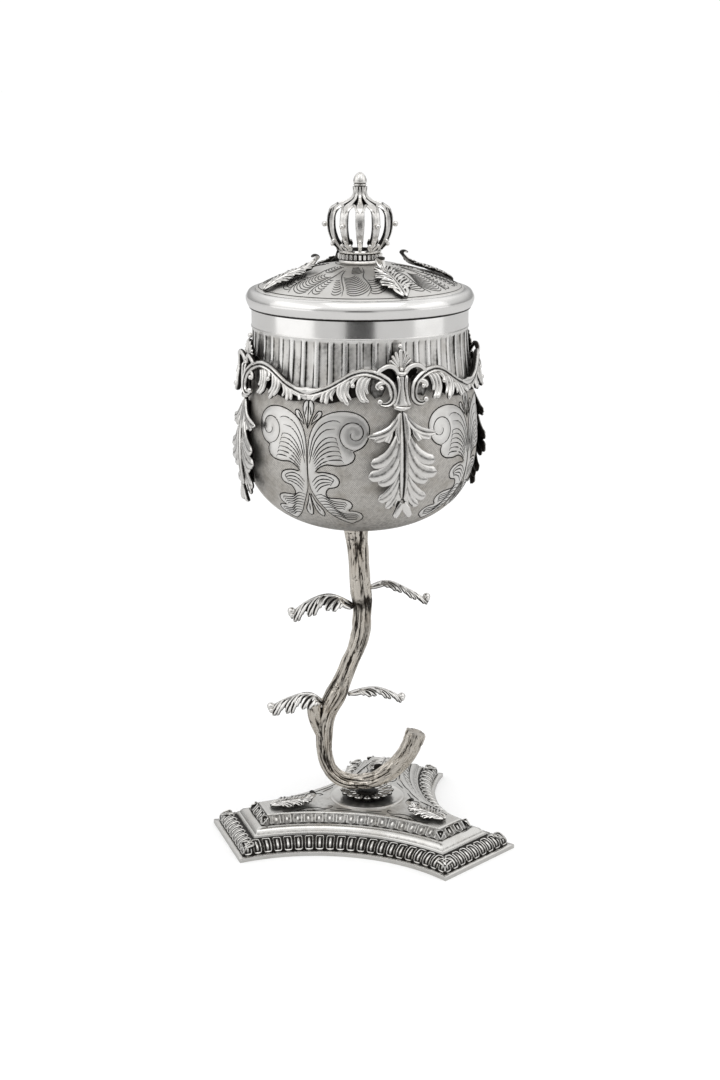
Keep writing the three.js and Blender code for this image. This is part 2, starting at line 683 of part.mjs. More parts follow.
function makeCrown() {
  const ringTop = crownBase + CROWN_RING_HEIGHT;
  const tip = crownBase + CROWN_HEIGHT;
  const ringInside = CROWN_RING_RADIUS - CROWN_RING_WIDTH;
  const lathe = (profile, sides) => {
    const points = profile.map(([radius, z]) => new THREE.Vector2(radius, z));
    return solidOf(new THREE.LatheGeometry(points, sides).rotateX(turn / 4));
  };
  const ring = lathe(
    [
      [ringInside, crownBase],
      [CROWN_RING_RADIUS - 0.41 * CROWN_RING_WIDTH, crownBase],
      [CROWN_RING_RADIUS, crownBase + 0.35 * CROWN_RING_HEIGHT],
      [CROWN_RING_RADIUS - 0.27 * CROWN_RING_WIDTH, ringTop],
      [ringInside, ringTop],
      [ringInside, crownBase],
    ],
    CROWN_SIDES,
  );
  const rise = CROWN_HEIGHT - CROWN_RING_HEIGHT;
  const bud = lathe(
    [
      [0, ringTop + 0.56 * rise],
      [1.2 * BUD_RADIUS, ringTop + 0.64 * rise],
      [0.73 * BUD_RADIUS, ringTop + 0.72 * rise],
      [0.67 * BUD_RADIUS, ringTop + 0.8 * rise],
      [0.85 * BUD_RADIUS, ringTop + 0.84 * rise],
      [BUD_RADIUS, ringTop + 0.87 * rise],
      [0.72 * BUD_RADIUS, ringTop + 0.95 * rise],
      [0, tip],
    ],
    8,
  );
  // An arch's radius from the axis and height over the ring, as shares of the swell and the rise.
  const arch = [
    [0.59, -0.04],
    [0.83, 0.14],
    [1.0, 0.38],
    [0.9, 0.52],
    [0.58, 0.6],
    [0.2, 0.64],
  ];
  let crown = ring.add(bud);
  for (let k = 0; k < CROWN_ARCHES; k += 1) {
    const heading = (k * turn) / CROWN_ARCHES;
    const route = arch.map(([out, up]) => ({
      at: new THREE.Vector3(
        out * CROWN_SWELL_RADIUS * Math.cos(heading),
        out * CROWN_SWELL_RADIUS * Math.sin(heading),
        ringTop + up * rise,
      ),
      radius: CROWN_ARCH_RADIUS,
    }));
    crown = crown.add(solidOf(sweep(route, 3, 0)));
    if (k % 2 === 0) {
      const reach = CROWN_SWELL_RADIUS + 0.6 * CROWN_BALL_RADIUS;
      const ball = new THREE.IcosahedronGeometry(CROWN_BALL_RADIUS);
      ball.translate(reach * Math.cos(heading), reach * Math.sin(heading), ringTop + 0.36 * rise);
      crown = crown.add(solidOf(ball));
    }
  }
  return meshOf(crown.simplify(SMALLEST_DETAIL)).translate(BOWL_AXIS_X, 0, 0);
}

// The outline that the applied and free leaves share, as shares of length and half width.
const LEAF_OUTLINE = [
  [0.0, 0.2],
  [0.12, 0.16],
  [0.28, 0.66],
  [0.36, 0.7],
  [0.42, 0.42],
  [0.53, 0.94],
  [0.6, 1.0],
  [0.66, 0.52],
  [0.76, 0.8],
  [0.83, 0.8],
  [0.88, 0.36],
  [0.95, 0.44],
  [1.0, 0.22],
];

// How high a curling leaf stands off what it lies on, at a share of its length.
function curlRise(share) {
  const tip = Math.max(0, (share - 0.72) / 0.28) ** 2;
  return LEAF_CURL * (0.17 * Math.sin(Math.PI * share) + tip);
}

// A leaf that lies along a radius of the lid or the foot, with its root outwards.
function radialLeaf(axisX, heading, rootRadius, length, halfWidth, surface) {
  const outline = LEAF_OUTLINE.map(([along, across]) => [along, across * halfWidth]);
  const place = (along, across, proud) => {
    const radius = rootRadius - along * length;
    const x = radius * Math.cos(heading) + across * Math.sin(heading);
    const y = radius * Math.sin(heading) - across * Math.cos(heading);
    return [axisX + x, y, surface(Math.hypot(x, y)) + SEAT_GAP + curlRise(along) + proud];
  };
  return leaf(outline, place, {
    thickness: LEAF_THICKNESS,
    ridge: LEAF_RIDGE,
  });
}

function makeLidLeaf(index) {
  const heading = radians(LID_LEAF_TURN_DEG) + (index * turn) / MOUNTS;
  const rootRadius = lidRadius - 1.12 * LID_ROLL_WIDTH;
  // Over the dome's facets, which bow under a long straight leaf.
  const surface = (radius) => domeHeight(radius) + SEAT_GAP;
  return radialLeaf(BOWL_AXIS_X, heading, rootRadius, LID_LEAF_LENGTH, LID_LEAF_HALF_WIDTH, surface);
}

function makeFootLeaf(index) {
  const heading = radians(FOOT_TURN_DEG) + (index * turn) / 3;
  const rootRadius = FOOT_REACH - topInset - FOOT_LEAF_SETBACK;
  return radialLeaf(0, heading, rootRadius, FOOT_LEAF_LENGTH, FOOT_LEAF_HALF_WIDTH, () => footTop);
}

// The branch's leaves: the root, in x and z from the bowl's axis and the branch's foot as shares of
// the branch's height, the heading, the length as a share of the leaf length, and the midrib in
// shares of that length outwards and upwards.
const BRANCH_LEAVES = [
  {
    name: "upper_left",
    root: [-0.024, 0.702],
    heading: 196,
    reach: 0.97,
    rib: [[0, 0], [0.36, 0.16], [0.66, 0.1], [0.9, -0.04], [0.98, -0.05], [0.96, 0.03]],
  },
  {
    name: "upper_right",
    root: [0.03, 0.765],
    heading: 14,
    reach: 0.92,
    rib: [[0, 0], [0.3, 0.06], [0.63, -0.1], [0.9, -0.26], [0.98, -0.25], [0.96, -0.16]],
  },
  {
    name: "lower_left",
    root: [-0.127, 0.327],
    heading: 192,
    reach: 0.84,
    rib: [[0, 0], [0.28, 0.19], [0.62, 0.13], [0.9, 0.02], [0.98, 0.0], [0.97, 0.08]],
  },
  {
    name: "lower_right",
    root: [-0.043, 0.366],
    heading: 10,
    reach: 0.84,
    rib: [[0, 0], [0.3, 0.05], [0.52, 0.04], [0.76, -0.05], [0.94, -0.15], [0.98, -0.06]],
  },
];

function makeBranchLeaf({ root, heading, reach, rib }, clearBranch) {
  const length = reach * BRANCH_LEAF_LENGTH;
  const rootX = BOWL_AXIS_X + root[0] * BRANCH_HEIGHT;
  const rootZ = branchBase + root[1] * BRANCH_HEIGHT;
  const knots = rib.map(([out, up]) => new THREE.Vector3(out * length, 0, up * length));
  const curve = new THREE.CatmullRomCurve3(knots);
  const angle = radians(heading);
  const outline = LEAF_OUTLINE.map(([along, across]) => [along, across * BRANCH_LEAF_HALF_WIDTH]);
  const place = (along, across, proud) => {
    const rest = curve.getPoint(along);
    const run = curve.getTangent(along);
    // The blade hangs to both sides of its midrib.
    const droop = 0.7 * Math.abs(across);
    const spread = 0.8 * across;
    const out = rest.x - run.z * proud;
    return [
      rootX + out * Math.cos(angle) - spread * Math.sin(angle),
      out * Math.sin(angle) + spread * Math.cos(angle),
      rootZ + rest.z + run.x * proud - droop,
    ];
  };
  const blade = leaf(outline, place, { thickness: LEAF_THICKNESS, ridge: 0.6 * LEAF_RIDGE });
  return solidOf(blade).subtract(clearBranch).simplify(SMALLEST_DETAIL);
}

// Finishes of the silver: polished, darkened in its recesses, and matt like bark.
const POLISHED = { name: "polished_silver", color: 0xc9c6c0, roughness: 0.3 };
const OXIDISED = { name: "oxidised_silver", color: 0xa9a59c, roughness: 0.42 };
const BARK = { name: "bark_silver", color: 0xb4ab9b, roughness: 0.45 };

const goblet = new THREE.Group();

function place(name, geometry, finish) {
  const material = new THREE.MeshStandardMaterial({ ...finish, metalness: 1 });
  const mesh = new THREE.Mesh(geometry, material);
  mesh.name = name;
  goblet.add(mesh);
}

place("foot", makeFoot(), OXIDISED);
place("rosette", makeRosette(), OXIDISED);
place("branch", meshOf(makeBranch()), BARK);
place("bowl", makeBowl(), OXIDISED);
place("lid", makeLid(), POLISHED);
place("crown", makeCrown(), OXIDISED);
for (let i = 0; i < 3; i += 1) {
  place(`foot_leaf_${i + 1}`, makeFootLeaf(i), OXIDISED);
}
for (let i = 0; i < MOUNTS; i += 1) {
  place(`garland_${i + 1}`, meshOf(makeMount(i).simplify(SMALLEST_DETAIL)), OXIDISED);
  place(`leaf_drop_${i + 1}`, makePendant(i), OXIDISED);
  place(`lid_leaf_${i + 1}`, makeLidLeaf(i), OXIDISED);
}
const clearBranch = makeBranch(SEAT_GAP);
for (const form of BRANCH_LEAVES) {
  place(`branch_leaf_${form.name}`, meshOf(makeBranchLeaf(form, clearBranch)), OXIDISED);
}

export default goblet;
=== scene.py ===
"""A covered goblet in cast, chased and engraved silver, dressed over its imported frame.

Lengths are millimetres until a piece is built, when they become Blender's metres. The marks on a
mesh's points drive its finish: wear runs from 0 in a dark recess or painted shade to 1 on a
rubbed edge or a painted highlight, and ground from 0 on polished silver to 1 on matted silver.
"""

from __future__ import annotations

import json
import logging
import math
from dataclasses import dataclass
from enum import Enum
from typing import Sequence

import bmesh
import bpy
import numpy as np
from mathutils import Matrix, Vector

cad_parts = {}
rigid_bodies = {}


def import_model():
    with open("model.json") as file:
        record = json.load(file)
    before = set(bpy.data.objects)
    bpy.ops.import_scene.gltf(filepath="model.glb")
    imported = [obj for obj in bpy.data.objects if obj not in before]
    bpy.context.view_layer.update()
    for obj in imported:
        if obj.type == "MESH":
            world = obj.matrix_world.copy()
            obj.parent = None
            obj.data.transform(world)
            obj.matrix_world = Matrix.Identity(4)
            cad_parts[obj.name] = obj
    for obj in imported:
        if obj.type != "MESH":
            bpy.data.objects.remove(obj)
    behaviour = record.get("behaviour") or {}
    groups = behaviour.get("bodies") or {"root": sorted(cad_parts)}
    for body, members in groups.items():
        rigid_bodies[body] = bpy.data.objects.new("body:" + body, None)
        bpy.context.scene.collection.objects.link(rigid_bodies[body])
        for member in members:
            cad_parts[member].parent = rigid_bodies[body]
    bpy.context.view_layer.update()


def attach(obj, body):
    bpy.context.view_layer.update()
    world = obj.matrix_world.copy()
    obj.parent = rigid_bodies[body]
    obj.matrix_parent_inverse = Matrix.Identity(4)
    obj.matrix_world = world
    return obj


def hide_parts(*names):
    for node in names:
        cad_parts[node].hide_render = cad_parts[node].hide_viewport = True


LOG = logging.getLogger("goblet")
MM = 0.001
TURN = 2 * math.pi
ROOT = "root"
MARKS = ("wear", "ground")
FAR = 1e9

Array = np.ndarray
Point = Sequence[float]
Material = bpy.types.Material
Socket = bpy.types.NodeSocket


def ease(low: float, high: float, value: Array) -> Array:
    """Smoothly steps from 0 at low to 1 at high."""
    share = np.clip((np.asarray(value, float) - low) / (high - low), 0, 1)
    return share * share * (3 - 2 * share)


def smooth_path(knots: Sequence[Point], count: int, closed: bool = False) -> Array:
    """Runs an even, smooth path through knots.

    Args:
        knots: Points of two or three coordinates.
        count: How many points the path gets.
        closed: Whether the path comes back to its first knot.

    Returns:
        The path's points, one a row.
    """
    points = np.asarray(knots, float)
    if closed:
        points = np.vstack([points[-1:], points, points[:2]])
    else:
        points = np.vstack([2 * points[0] - points[1], points, 2 * points[-1] - points[-2]])
    dense = []
    steps = np.linspace(0, 1, 12, endpoint=False)[:, None]
    for a, b, c, d in zip(points, points[1:], points[2:], points[3:]):
        bend = 2 * a - 5 * b + 4 * c - d
        twist = 3 * (b - c) + d - a
        dense.append(0.5 * (2 * b + (c - a) * steps + bend * steps**2 + twist * steps**3))
    dense = np.vstack([*dense, points[-2:-1]])
    run = np.concatenate([[0], np.cumsum(np.linalg.norm(np.diff(dense, axis=0), axis=1))])
    places = np.linspace(0, run[-1], count, endpoint=not closed)
    return np.stack([np.interp(places, run, column) for column in dense.T], axis=1)


def mirrored(knots: Sequence[Point], side: int) -> list[list[float]]:
    """Copies knots to one side of a motif's axis, where side is 1 or -1."""
    return [[side * knot[0], *knot[1:]] for knot in knots]


def headings(count: int, first: float) -> list[float]:
    """Spaces a number of headings evenly round an axis, from the first one on."""
    return [first + k * TURN / count for k in range(count)]


def from_nearest(angle: Array, count: int, first: float) -> Array:
    """Gives each angle's turn from the nearest of a number of evenly spaced headings."""
    sector = TURN / count
    return (angle - first + sector / 2) % sector - sector / 2


def directions(route: Array) -> Array:
    """Gives the unit direction of a route at each of its points."""
    run = np.gradient(route, axis=0)
    return run / (np.linalg.norm(run, axis=1, keepdims=True) + 1e-9)


def turned(profile: Sequence[Point], axis_x: float, angle: Array) -> Array:
    """Turns a profile round an upright axis.

    Args:
        profile: Rows of radius and height.
        axis_x: Where the axis stands.
        angle: Angle of each column.

    Returns:
        Positions, shaped rows by columns by 3.
    """
    rows = np.asarray(profile, float)
    radius = rows[:, :1]
    z = rows[:, 1:] + 0 * angle
    return np.stack([axis_x + radius * np.cos(angle), radius * np.sin(angle), z], axis=-1)


def streaks(rows: int, columns: int, length: float, width: float, seed: int) -> Array:
    """Makes a field of soft random streaks that closes on itself.

    Args:
        rows: Points along the streaks.
        columns: Points across them.
        length: How far a streak runs, in rows.
        width: How wide it is, in columns.
        seed: Seed of the random field.

    Returns:
        Values from about -1 to 1, shaped rows by columns.
    """
    noise = np.fft.rfft2(np.random.default_rng(seed).standard_normal((rows, columns)))
    along = np.fft.fftfreq(rows)[:, None] * length
    across = np.fft.rfftfreq(columns)[None, :] * width
    field = np.fft.irfft2(noise * np.exp(-5 * (along**2 + across**2)), (rows, columns))
    return field / (2 * field.std())


# Forms that several pieces share


@dataclass(frozen=True)
class BowlForm:
    """The bowl's outside as a radius at a height, with what is spaced round it."""

    axis_x: float = -3.3
    base: float = 144.0
    belly: float = 185.8
    flute_foot: float = 208
    flute_top: float = 233.6
    top: float = 241.8
    rim_radius: float = 47.3
    belly_radius: float = 51.6
    squareness: float = 2.4
    wall: float = 1.3
    flutes: int = 48
    flute_depth: float = 0.7
    mounts: int = 4
    mount_turn_deg: float = -70.5
    chart_radius: float = 50

    @property
    def mount_heading(self) -> float:
        """Gives the heading of the first garland."""
        return math.radians(self.mount_turn_deg)

    @property
    def motif_heading(self) -> float:
        """Gives the heading of the first engraved motif, halfway between two garlands."""
        return self.mount_heading + TURN / self.mounts / 2

    def radius(self, z: Array) -> Array:
        """Gives the plain outside's radius at a height."""
        z = np.asarray(z, float)
        depth = np.clip((self.belly - z) / (self.belly - self.base), 0, 1)
        belly = self.belly_radius * (1 - depth**self.squareness) ** (1 / self.squareness)
        share = np.clip((z - self.belly) / (self.flute_top - self.belly), 0, 1)
        narrowing = (self.rim_radius - self.belly_radius) * (0.5 - 0.5 * np.cos(math.pi * share))
        return np.where(z < self.belly, belly, self.belly_radius + narrowing)

    def normal(self, z: Array) -> tuple[Array, Array]:
        """Gives the outward and the upward share of the surface's normal at a height."""
        step = 0.05
        slope = (self.radius(z + step) - self.radius(z - step)) / (2 * step)
        size = np.hypot(1, slope)
        return 1 / size, -slope / size


@dataclass(frozen=True)
class LidForm:
    """The lid's dome as a height at a radius, with the roll of its rim outside it."""

    radius: float = 49.7
    base: float = 242.1
    shoulder: float = 250.1
    dome_radius: float = 45.5
    dome_rise: float = 11.3
    wall: float = 1.2
    collar_radius: float = 45.5
    collar_depth: float = 5.5
    leaves: int = 4
    leaf_turn_deg: float = -65.5

    @property
    def leaf_heading(self) -> float:
        """Gives the heading of the first leaf."""
        return math.radians(self.leaf_turn_deg)

    def height(self, radius: Array) -> Array:
        """Gives the dome's height at a radius from its axis."""
        share = np.clip(np.asarray(radius, float) / self.dome_radius, 0, 1)
        return self.shoulder + self.dome_rise * (1 - share**2) ** 0.9


@dataclass(frozen=True)
class FootForm:
    """The foot's plan, with three arms, straight ends and hollowed sides."""

    reach: float = 67.3
    end_half_width: float = 24.3
    side_hollow: float = 16.4
    turn_deg: float = 198
    end_inset_ratio: float = 1.1
    top: float = 14.5
    arms: int = 3

    @property
    def heading(self) -> float:
        """Gives the heading of the first arm."""
        return math.radians(self.turn_deg)

    def outline(self, inset: float, end_steps: int, side_steps: int, gap: float = 0) -> list[Array]:
        """Lays out the plan's six runs, the end and the side of each arm in turn.

        Args:
            inset: Distance in from the outermost outline.
            end_steps: Points along an end.
            side_steps: Points along a side.
            gap: Length that is left free at both ends of every run.

        Returns:
            Six arrays of x and y. Each starts at one corner and stops short of the next.
        """
        corner = math.hypot(self.reach, self.end_half_width)
        half_angle = TURN / 6 - math.atan2(self.end_half_width, self.reach)
        half_chord = corner * math.sin(half_angle)
        radius = (half_chord**2 + self.side_hollow**2) / (2 * self.side_hollow)
        centre = corner * math.cos(half_angle) - self.side_hollow + radius
        centre_x = centre * math.cos(TURN / 6)
        centre_y = centre * math.sin(TURN / 6)
        reach = self.reach - self.end_inset_ratio * inset
        side = radius + inset
        half_width = centre_y - math.sqrt(side**2 - (reach - centre_x) ** 2)
        first = math.atan2(half_width - centre_y, reach - centre_x)
        last = first + 2 * (-TURN / 3 - first)
        meets_next = bool(gap)
        along = np.linspace(gap - half_width, half_width - gap, end_steps, endpoint=meets_next)
        end = np.stack([np.full(end_steps, reach), along], axis=1)
        swing = math.copysign(gap / side, last - first)
        angle = np.linspace(first + swing, last - swing, side_steps, endpoint=meets_next)
        x = centre_x + side * np.cos(angle)
        hollow = np.stack([x, centre_y + side * np.sin(angle)], axis=1)
        runs = []
        for heading in headings(self.arms, self.heading):
            cos = math.cos(heading)
            sin = math.sin(heading)
            turn = np.array([[cos, sin], [-sin, cos]])
            runs += [end @ turn, hollow @ turn]
        return runs


@dataclass(frozen=True)
class BranchForm:
    """The branch's size."""

    base: float = 17.5
    height: float = 126.2
    thickness: float = 4.4


# Places for ornament


class Chart:
    """Maps an ornament's own coordinates (u, v, height over the carrier) into space."""

    def place(self, points: Array) -> Array:
        """Maps rows of (u, v, height) to rows of (x, y, z)."""
        return np.asarray(points, float)


SPACE = Chart()


@dataclass(frozen=True)
class BowlChart(Chart):
    """A place on the bowl's outside: u runs round it and v is the height over a level."""

    form: BowlForm
    heading: float
    level: float

    def place(self, points: Array) -> Array:
        """Maps rows of (u, v, height) to rows of (x, y, z)."""
        u, v, proud = np.moveaxis(np.asarray(points, float), -1, 0)
        angle = self.heading + u / self.form.chart_radius
        z = self.level + v
        out, up = self.form.normal(z)
        radius = self.form.radius(z) + proud * out
        x = self.form.axis_x + radius * np.cos(angle)
        return np.stack([x, radius * np.sin(angle), z + proud * up], axis=-1)


@dataclass(frozen=True)
class LidChart(Chart):
    """A place on the lid: u is the length round from a heading and v is the radius."""

    form: LidForm
    axis_x: float
    heading: float

    def place(self, points: Array) -> Array:
        """Maps rows of (u, v, height) to rows of (x, y, z)."""
        u, v, proud = np.moveaxis(np.asarray(points, float), -1, 0)
        angle = self.heading + u / v
        z = self.form.height(v) + proud
        return np.stack([self.axis_x + v * np.cos(angle), v * np.sin(angle), z], axis=-1)


@dataclass(frozen=True)
class RadialChart(Chart):
    """A leaf's place on the lid or foot: u runs inwards from its root and v runs across it."""

    axis_x: float
    heading: float
    root_radius: float
    lid: LidForm | None
    level: float

    def place(self, points: Array) -> Array:
        """Maps rows of (u, v, height) to rows of (x, y, z)."""
        u, v, proud = np.moveaxis(np.asarray(points, float), -1, 0)
        radius = self.root_radius - u
        x = radius * math.cos(self.heading) + v * math.sin(self.heading)
        y = radius * math.sin(self.heading) - v * math.cos(self.heading)
        base = self.level if self.lid is None else self.lid.height(np.hypot(x, y))
        return np.stack([self.axis_x + x, y, base + proud], axis=-1)


@dataclass(frozen=True)
class PolarChart(Chart):
    """A place on a level top: u is degrees round from a heading and v is the radius."""

    heading: float
    level: float

    def place(self, points: Array) -> Array:
        """Maps rows of (u, v, height) to rows of (x, y, z)."""
        u, v, proud = np.moveaxis(np.asarray(points, float), -1, 0)
        angle = self.heading + np.radians(u)
        return np.stack([v * np.cos(angle), v * np.sin(angle), self.level + proud], axis=-1)


@dataclass(frozen=True)
class RibChart(Chart):
    """A free leaf's place: u runs along an arching midrib and v across it, with hanging sides."""

    root: tuple[float, float]
    heading: float
    length: float
    rib: Sequence[Point]
    droop: float = 0.7
    spread: float = 0.8

    def place(self, points: Array) -> Array:
        """Maps rows of (u, v, height) to rows of (x, y, z)."""
        u, v, proud = np.moveaxis(np.asarray(points, float), -1, 0)
        count = 80
        rib = smooth_path(self.rib, count) * self.length
        run = directions(rib)
        at = np.clip(u / self.length, 0, 1) * (count - 1)
        steps = np.arange(count)
        out, up = (np.interp(at, steps, column) for column in rib.T)
        run_out, run_up = (np.interp(at, steps, column) for column in run.T)
        out = out - run_up * proud
        across = self.spread * v
        x = self.root[0] + out * math.cos(self.heading) - across * math.sin(self.heading)
        y = out * math.sin(self.heading) + across * math.cos(self.heading)
        z = self.root[1] + up + run_out * proud - self.droop * np.abs(v)
        return np.stack([x, y, z], axis=-1)


# Mesh making


class Casting:
    """Collects surfaces in millimetres and builds them as one object."""

    def __init__(self) -> None:
        """Starts without a point or a face."""
        self._points: list[Array] = []
        self._marks: dict[str, list[Array]] = {mark: [] for mark in MARKS}
        self._faces: list[Sequence[int]] = []
        self._slots: list[int] = []
        self._count = 0

    def _add_points(self, points: Array, wear: Array | float, ground: Array | float) -> int:
        """Adds points with their marks.

        Args:
            points: Positions, in any shape that ends in 3.
            wear: The mark of rubbing and painted shade, for all or for each point.
            ground: The ground mark, for all or for each point.

        Returns:
            The first point's number.
        """
        start = self._count
        flat = points.reshape(-1, 3)
        self._points.append(flat)
        for mark, value in (("wear", wear), ("ground", ground)):
            spread = np.broadcast_to(np.asarray(value, float), points.shape[:-1])
            self._marks[mark].append(spread.reshape(-1))
        self._count += len(flat)
        return start

    def _add_faces(self, faces: list[Sequence[int]], slot: int) -> None:
        """Adds faces of one material slot."""
        self._faces += faces
        self._slots += [slot] * len(faces)

    def skin(
        self,
        points: Array,
        wear: Array | float = 1,
        ground: Array | float = 0,
        slot: int | Array = 0,
        caps: bool = True,
    ) -> None:
        """Skins a stack of closed rings.

        Args:
            points: Positions, shaped rings by points by 3.
            wear: The mark of rubbing and painted shade at each point.
            ground: The ground mark at each point.
            slot: Material slot of the faces, for all or for each band between two rings.
            caps: Whether a fan of faces closes both ends, or the last ring joins the first.
        """
        rings, sides = points.shape[:2]
        start = self._add_points(points, wear, ground)
        number = start + np.arange(rings * sides).reshape(rings, sides)
        beside = np.roll(number, -1, axis=1)
        above = number[1:] if caps else np.roll(number, -1, axis=0)
        above_beside = beside[1:] if caps else np.roll(beside, -1, axis=0)
        bands = len(above)
        quads = np.stack([number[:bands], beside[:bands], above_beside, above], axis=-1)
        slots = np.broadcast_to(np.asarray(slot), (bands,))
        for band in range(bands):
            self._add_faces(quads[band].tolist(), int(slots[band]))
        if not caps:
            return
        marks = [np.broadcast_to(np.asarray(mark, float), (rings, sides)) for mark in (wear, ground)]
        for ring, end in ((0, 0), (rings - 1, bands - 1)):
            centre = points[ring].mean(axis=0)[None, :]
            middle = self._add_points(centre, *(mark[ring].mean() for mark in marks))
            fan = [(number[ring, i], number[ring, (i + 1) % sides], middle) for i in range(sides)]
            self._add_faces([tuple(int(n) for n in face) for face in fan], int(slots[end]))

    def turn(
        self,
        profile: Sequence[Point],
        axis_x: float,
        columns: int,
        wear: Sequence[float] | float,
        ground: float = 0,
        closed: bool = False,
    ) -> None:
        """Turns a profile round an upright axis.

        Args:
            profile: Rows of radius and height.
            axis_x: Where the axis stands.
            columns: Points round it.
            wear: The mark of rubbing and painted shade, for all or for each row.
            ground: The ground mark.
            closed: Whether the last row joins the first.
        """
        points = turned(profile, axis_x, np.arange(columns) * TURN / columns)
        marks = np.broadcast_to(np.asarray(wear, float).reshape(-1, 1), points.shape[:2])
        self.skin(points, marks, ground, caps=not closed)

    def add_mesh(self, mesh: bpy.types.Mesh) -> None:
        """Adds a Blender mesh in metres with its marks, and deletes it."""
        points = np.empty(3 * len(mesh.vertices))
        mesh.vertices.foreach_get("co", points)
        marks = []
        for mark in MARKS:
            values = np.empty(len(mesh.vertices))
            mesh.attributes[mark].data.foreach_get("value", values)
            marks.append(values)
        start = self._add_points(points.reshape(-1, 3) / MM, *marks)
        self._add_faces([[start + n for n in face.vertices] for face in mesh.polygons], 0)
        bpy.data.meshes.remove(mesh)

    def sweep(
        self,
        chart: Chart,
        knots: Sequence[Point],
        width: Sequence[float],
        height: float,
        *,
        groove: float = 0,
        sides: int = 10,
        steps: int = 18,
        low: float = 0.1,
        high: float = 1.0,
    ) -> None:
        """Sweeps a frond with rounded ends along a route.

        Args:
            chart: Where the route lies.
            knots: The route's (u, v, height of its middle line).
            width: Half widths, evenly spaced along the route.
            height: Half height of the section.
            groove: Depth of the channel along its back, as a share of the height.
            sides: Points round the section.
            steps: Stations along the route.
            low: The mark at the frond's foot, which darkens its sides and underside as painted shade.
            high: The mark on its back, lit as a painted highlight.
        """
        route = smooth_path(knots, steps)
        share = np.linspace(0, 1, steps)
        run = directions(route)
        across = np.empty_like(run)
        side = np.cross([0, 0, 1.0], run[0])
        if np.linalg.norm(side) < 1e-6:
            side = np.array([1.0, 0, 0])
        for i, tangent in enumerate(run):
            side = side - tangent * (side @ tangent)
            side /= np.linalg.norm(side)
            across[i] = side
        up = np.cross(run, across)
        half = np.interp(share, np.linspace(0, 1, len(width)), width)
        blunt = 0.09
        near_end = np.minimum(share, 1 - share)
        rounding = np.sqrt(np.clip(1 - (1 - np.clip(near_end / blunt, 0, 1)) ** 2, 0.03, 1))
        angle = TURN * (np.arange(sides) + 0.5) / sides
        channel = groove * np.exp(-((np.cos(angle) / 0.42) ** 2)) * (np.sin(angle) > 0)
        lift = np.sin(angle) * (1 - channel)
        points = (
            route[:, None]
            + across[:, None] * (half * rounding)[:, None, None] * np.cos(angle)[None, :, None]
            + up[:, None] * (height * rounding)[:, None, None] * lift[None, :, None]
        )
        # Round the section the sides, underside and groove are darkened and the back lightened: painted
        # shade and painted light from above.
        worn_and_shaded = low + (high - low) * np.clip(0.2 + 1.1 * np.sin(angle) - 2.0 * channel, 0, 1)
        self.skin(chart.place(points), np.broadcast_to(worn_and_shaded, points.shape[:2]))

    def strap(
        self,
        knots: Sequence[Array],
        side: Array,
        width: Sequence[float],
        height: float,
        turned: bool = False,
    ) -> None:
        """Sweeps a flat strap with a channelled back, whose width lies along a fixed side.

        Args:
            knots: The strap's route.
            side: The direction of its width, or of its face where it is turned.
            width: Half widths, evenly spaced along the route.
            height: Half height.
            turned: Whether its face, instead of its width, follows the side.
        """
        steps = 30
        sides = 12
        route = smooth_path(knots, steps)
        over = np.cross(side, directions(route))
        over /= np.linalg.norm(over, axis=1, keepdims=True)
        if turned:
            over, side = side + 0 * over, over[:, None]
        share = np.linspace(0, 1, steps)
        half = np.interp(share, np.linspace(0, 1, len(width)), width)[:, None, None]
        angle = TURN * (np.arange(sides) + 0.5)[:, None] / sides
        channel = 0.55 * np.exp(-((np.cos(angle) / 0.45) ** 2)) * np.abs(np.sin(angle))
        lift = height * np.sin(angle) * (1 - channel)
        points = route[:, None] + side * half * np.cos(angle) + over[:, None] * lift
        # The sides, underside and channel are darkened and the face lightened: painted shade and painted
        # light.
        worn_and_shaded = (1.35 * np.sin(angle) - 0.1 - 1.6 * channel)[:, 0] + 0 * share[:, None]
        self.skin(points, np.clip(worn_and_shaded, 0, 1))

    def ball(self, chart: Chart, centre: Point, radius: float) -> None:
        """Adds a small round bead.

        Args:
            chart: Where it lies.
            centre: Its middle, in the chart's coordinates.
            radius: Its radius.
        """
        middle = chart.place(np.asarray(centre, float)[None, :])[0]
        polar = np.linspace(0.04, math.pi - 0.04, 9)[:, None]
        angle = np.linspace(0, TURN, 14, endpoint=False)[None, :]
        ring = np.sin(polar)
        points = np.stack(
            [ring * np.cos(angle), ring * np.sin(angle), np.cos(polar) + 0 * angle], axis=-1
        )
        self.skin(middle + radius * points)

    def build(self, name: str, finishes: Sequence[Material]) -> bpy.types.Object:
        """Builds the object, with its faces outwards and its hard edges sharp.

        Args:
            name: The object's name.
            finishes: Its materials, in the order of the slots.

        Returns:
            The object, at the origin.
        """
        mesh = bpy.data.meshes.new(name)
        mesh.from_pydata((np.vstack(self._points) * MM).tolist(), [], self._faces)
        for mark, values in self._marks.items():
            attribute = mesh.attributes.new(mark, "FLOAT", "POINT")
            attribute.data.foreach_set("value", np.concatenate(values))
        for finish in finishes:
            mesh.materials.append(finish)
        mesh.polygons.foreach_set("material_index", self._slots)
        form = bmesh.new()
        form.from_mesh(mesh)
        bmesh.ops.recalc_face_normals(form, faces=form.faces)
        form.to_mesh(mesh)
        form.free()
        mesh.shade_smooth()
        mesh.set_sharp_from_angle(angle=math.radians(42))
        piece = bpy.data.objects.new(name, mesh)
        bpy.context.scene.collection.objects.link(piece)
        LOG.info("%s: %d faces", name, len(mesh.polygons))
        return piece


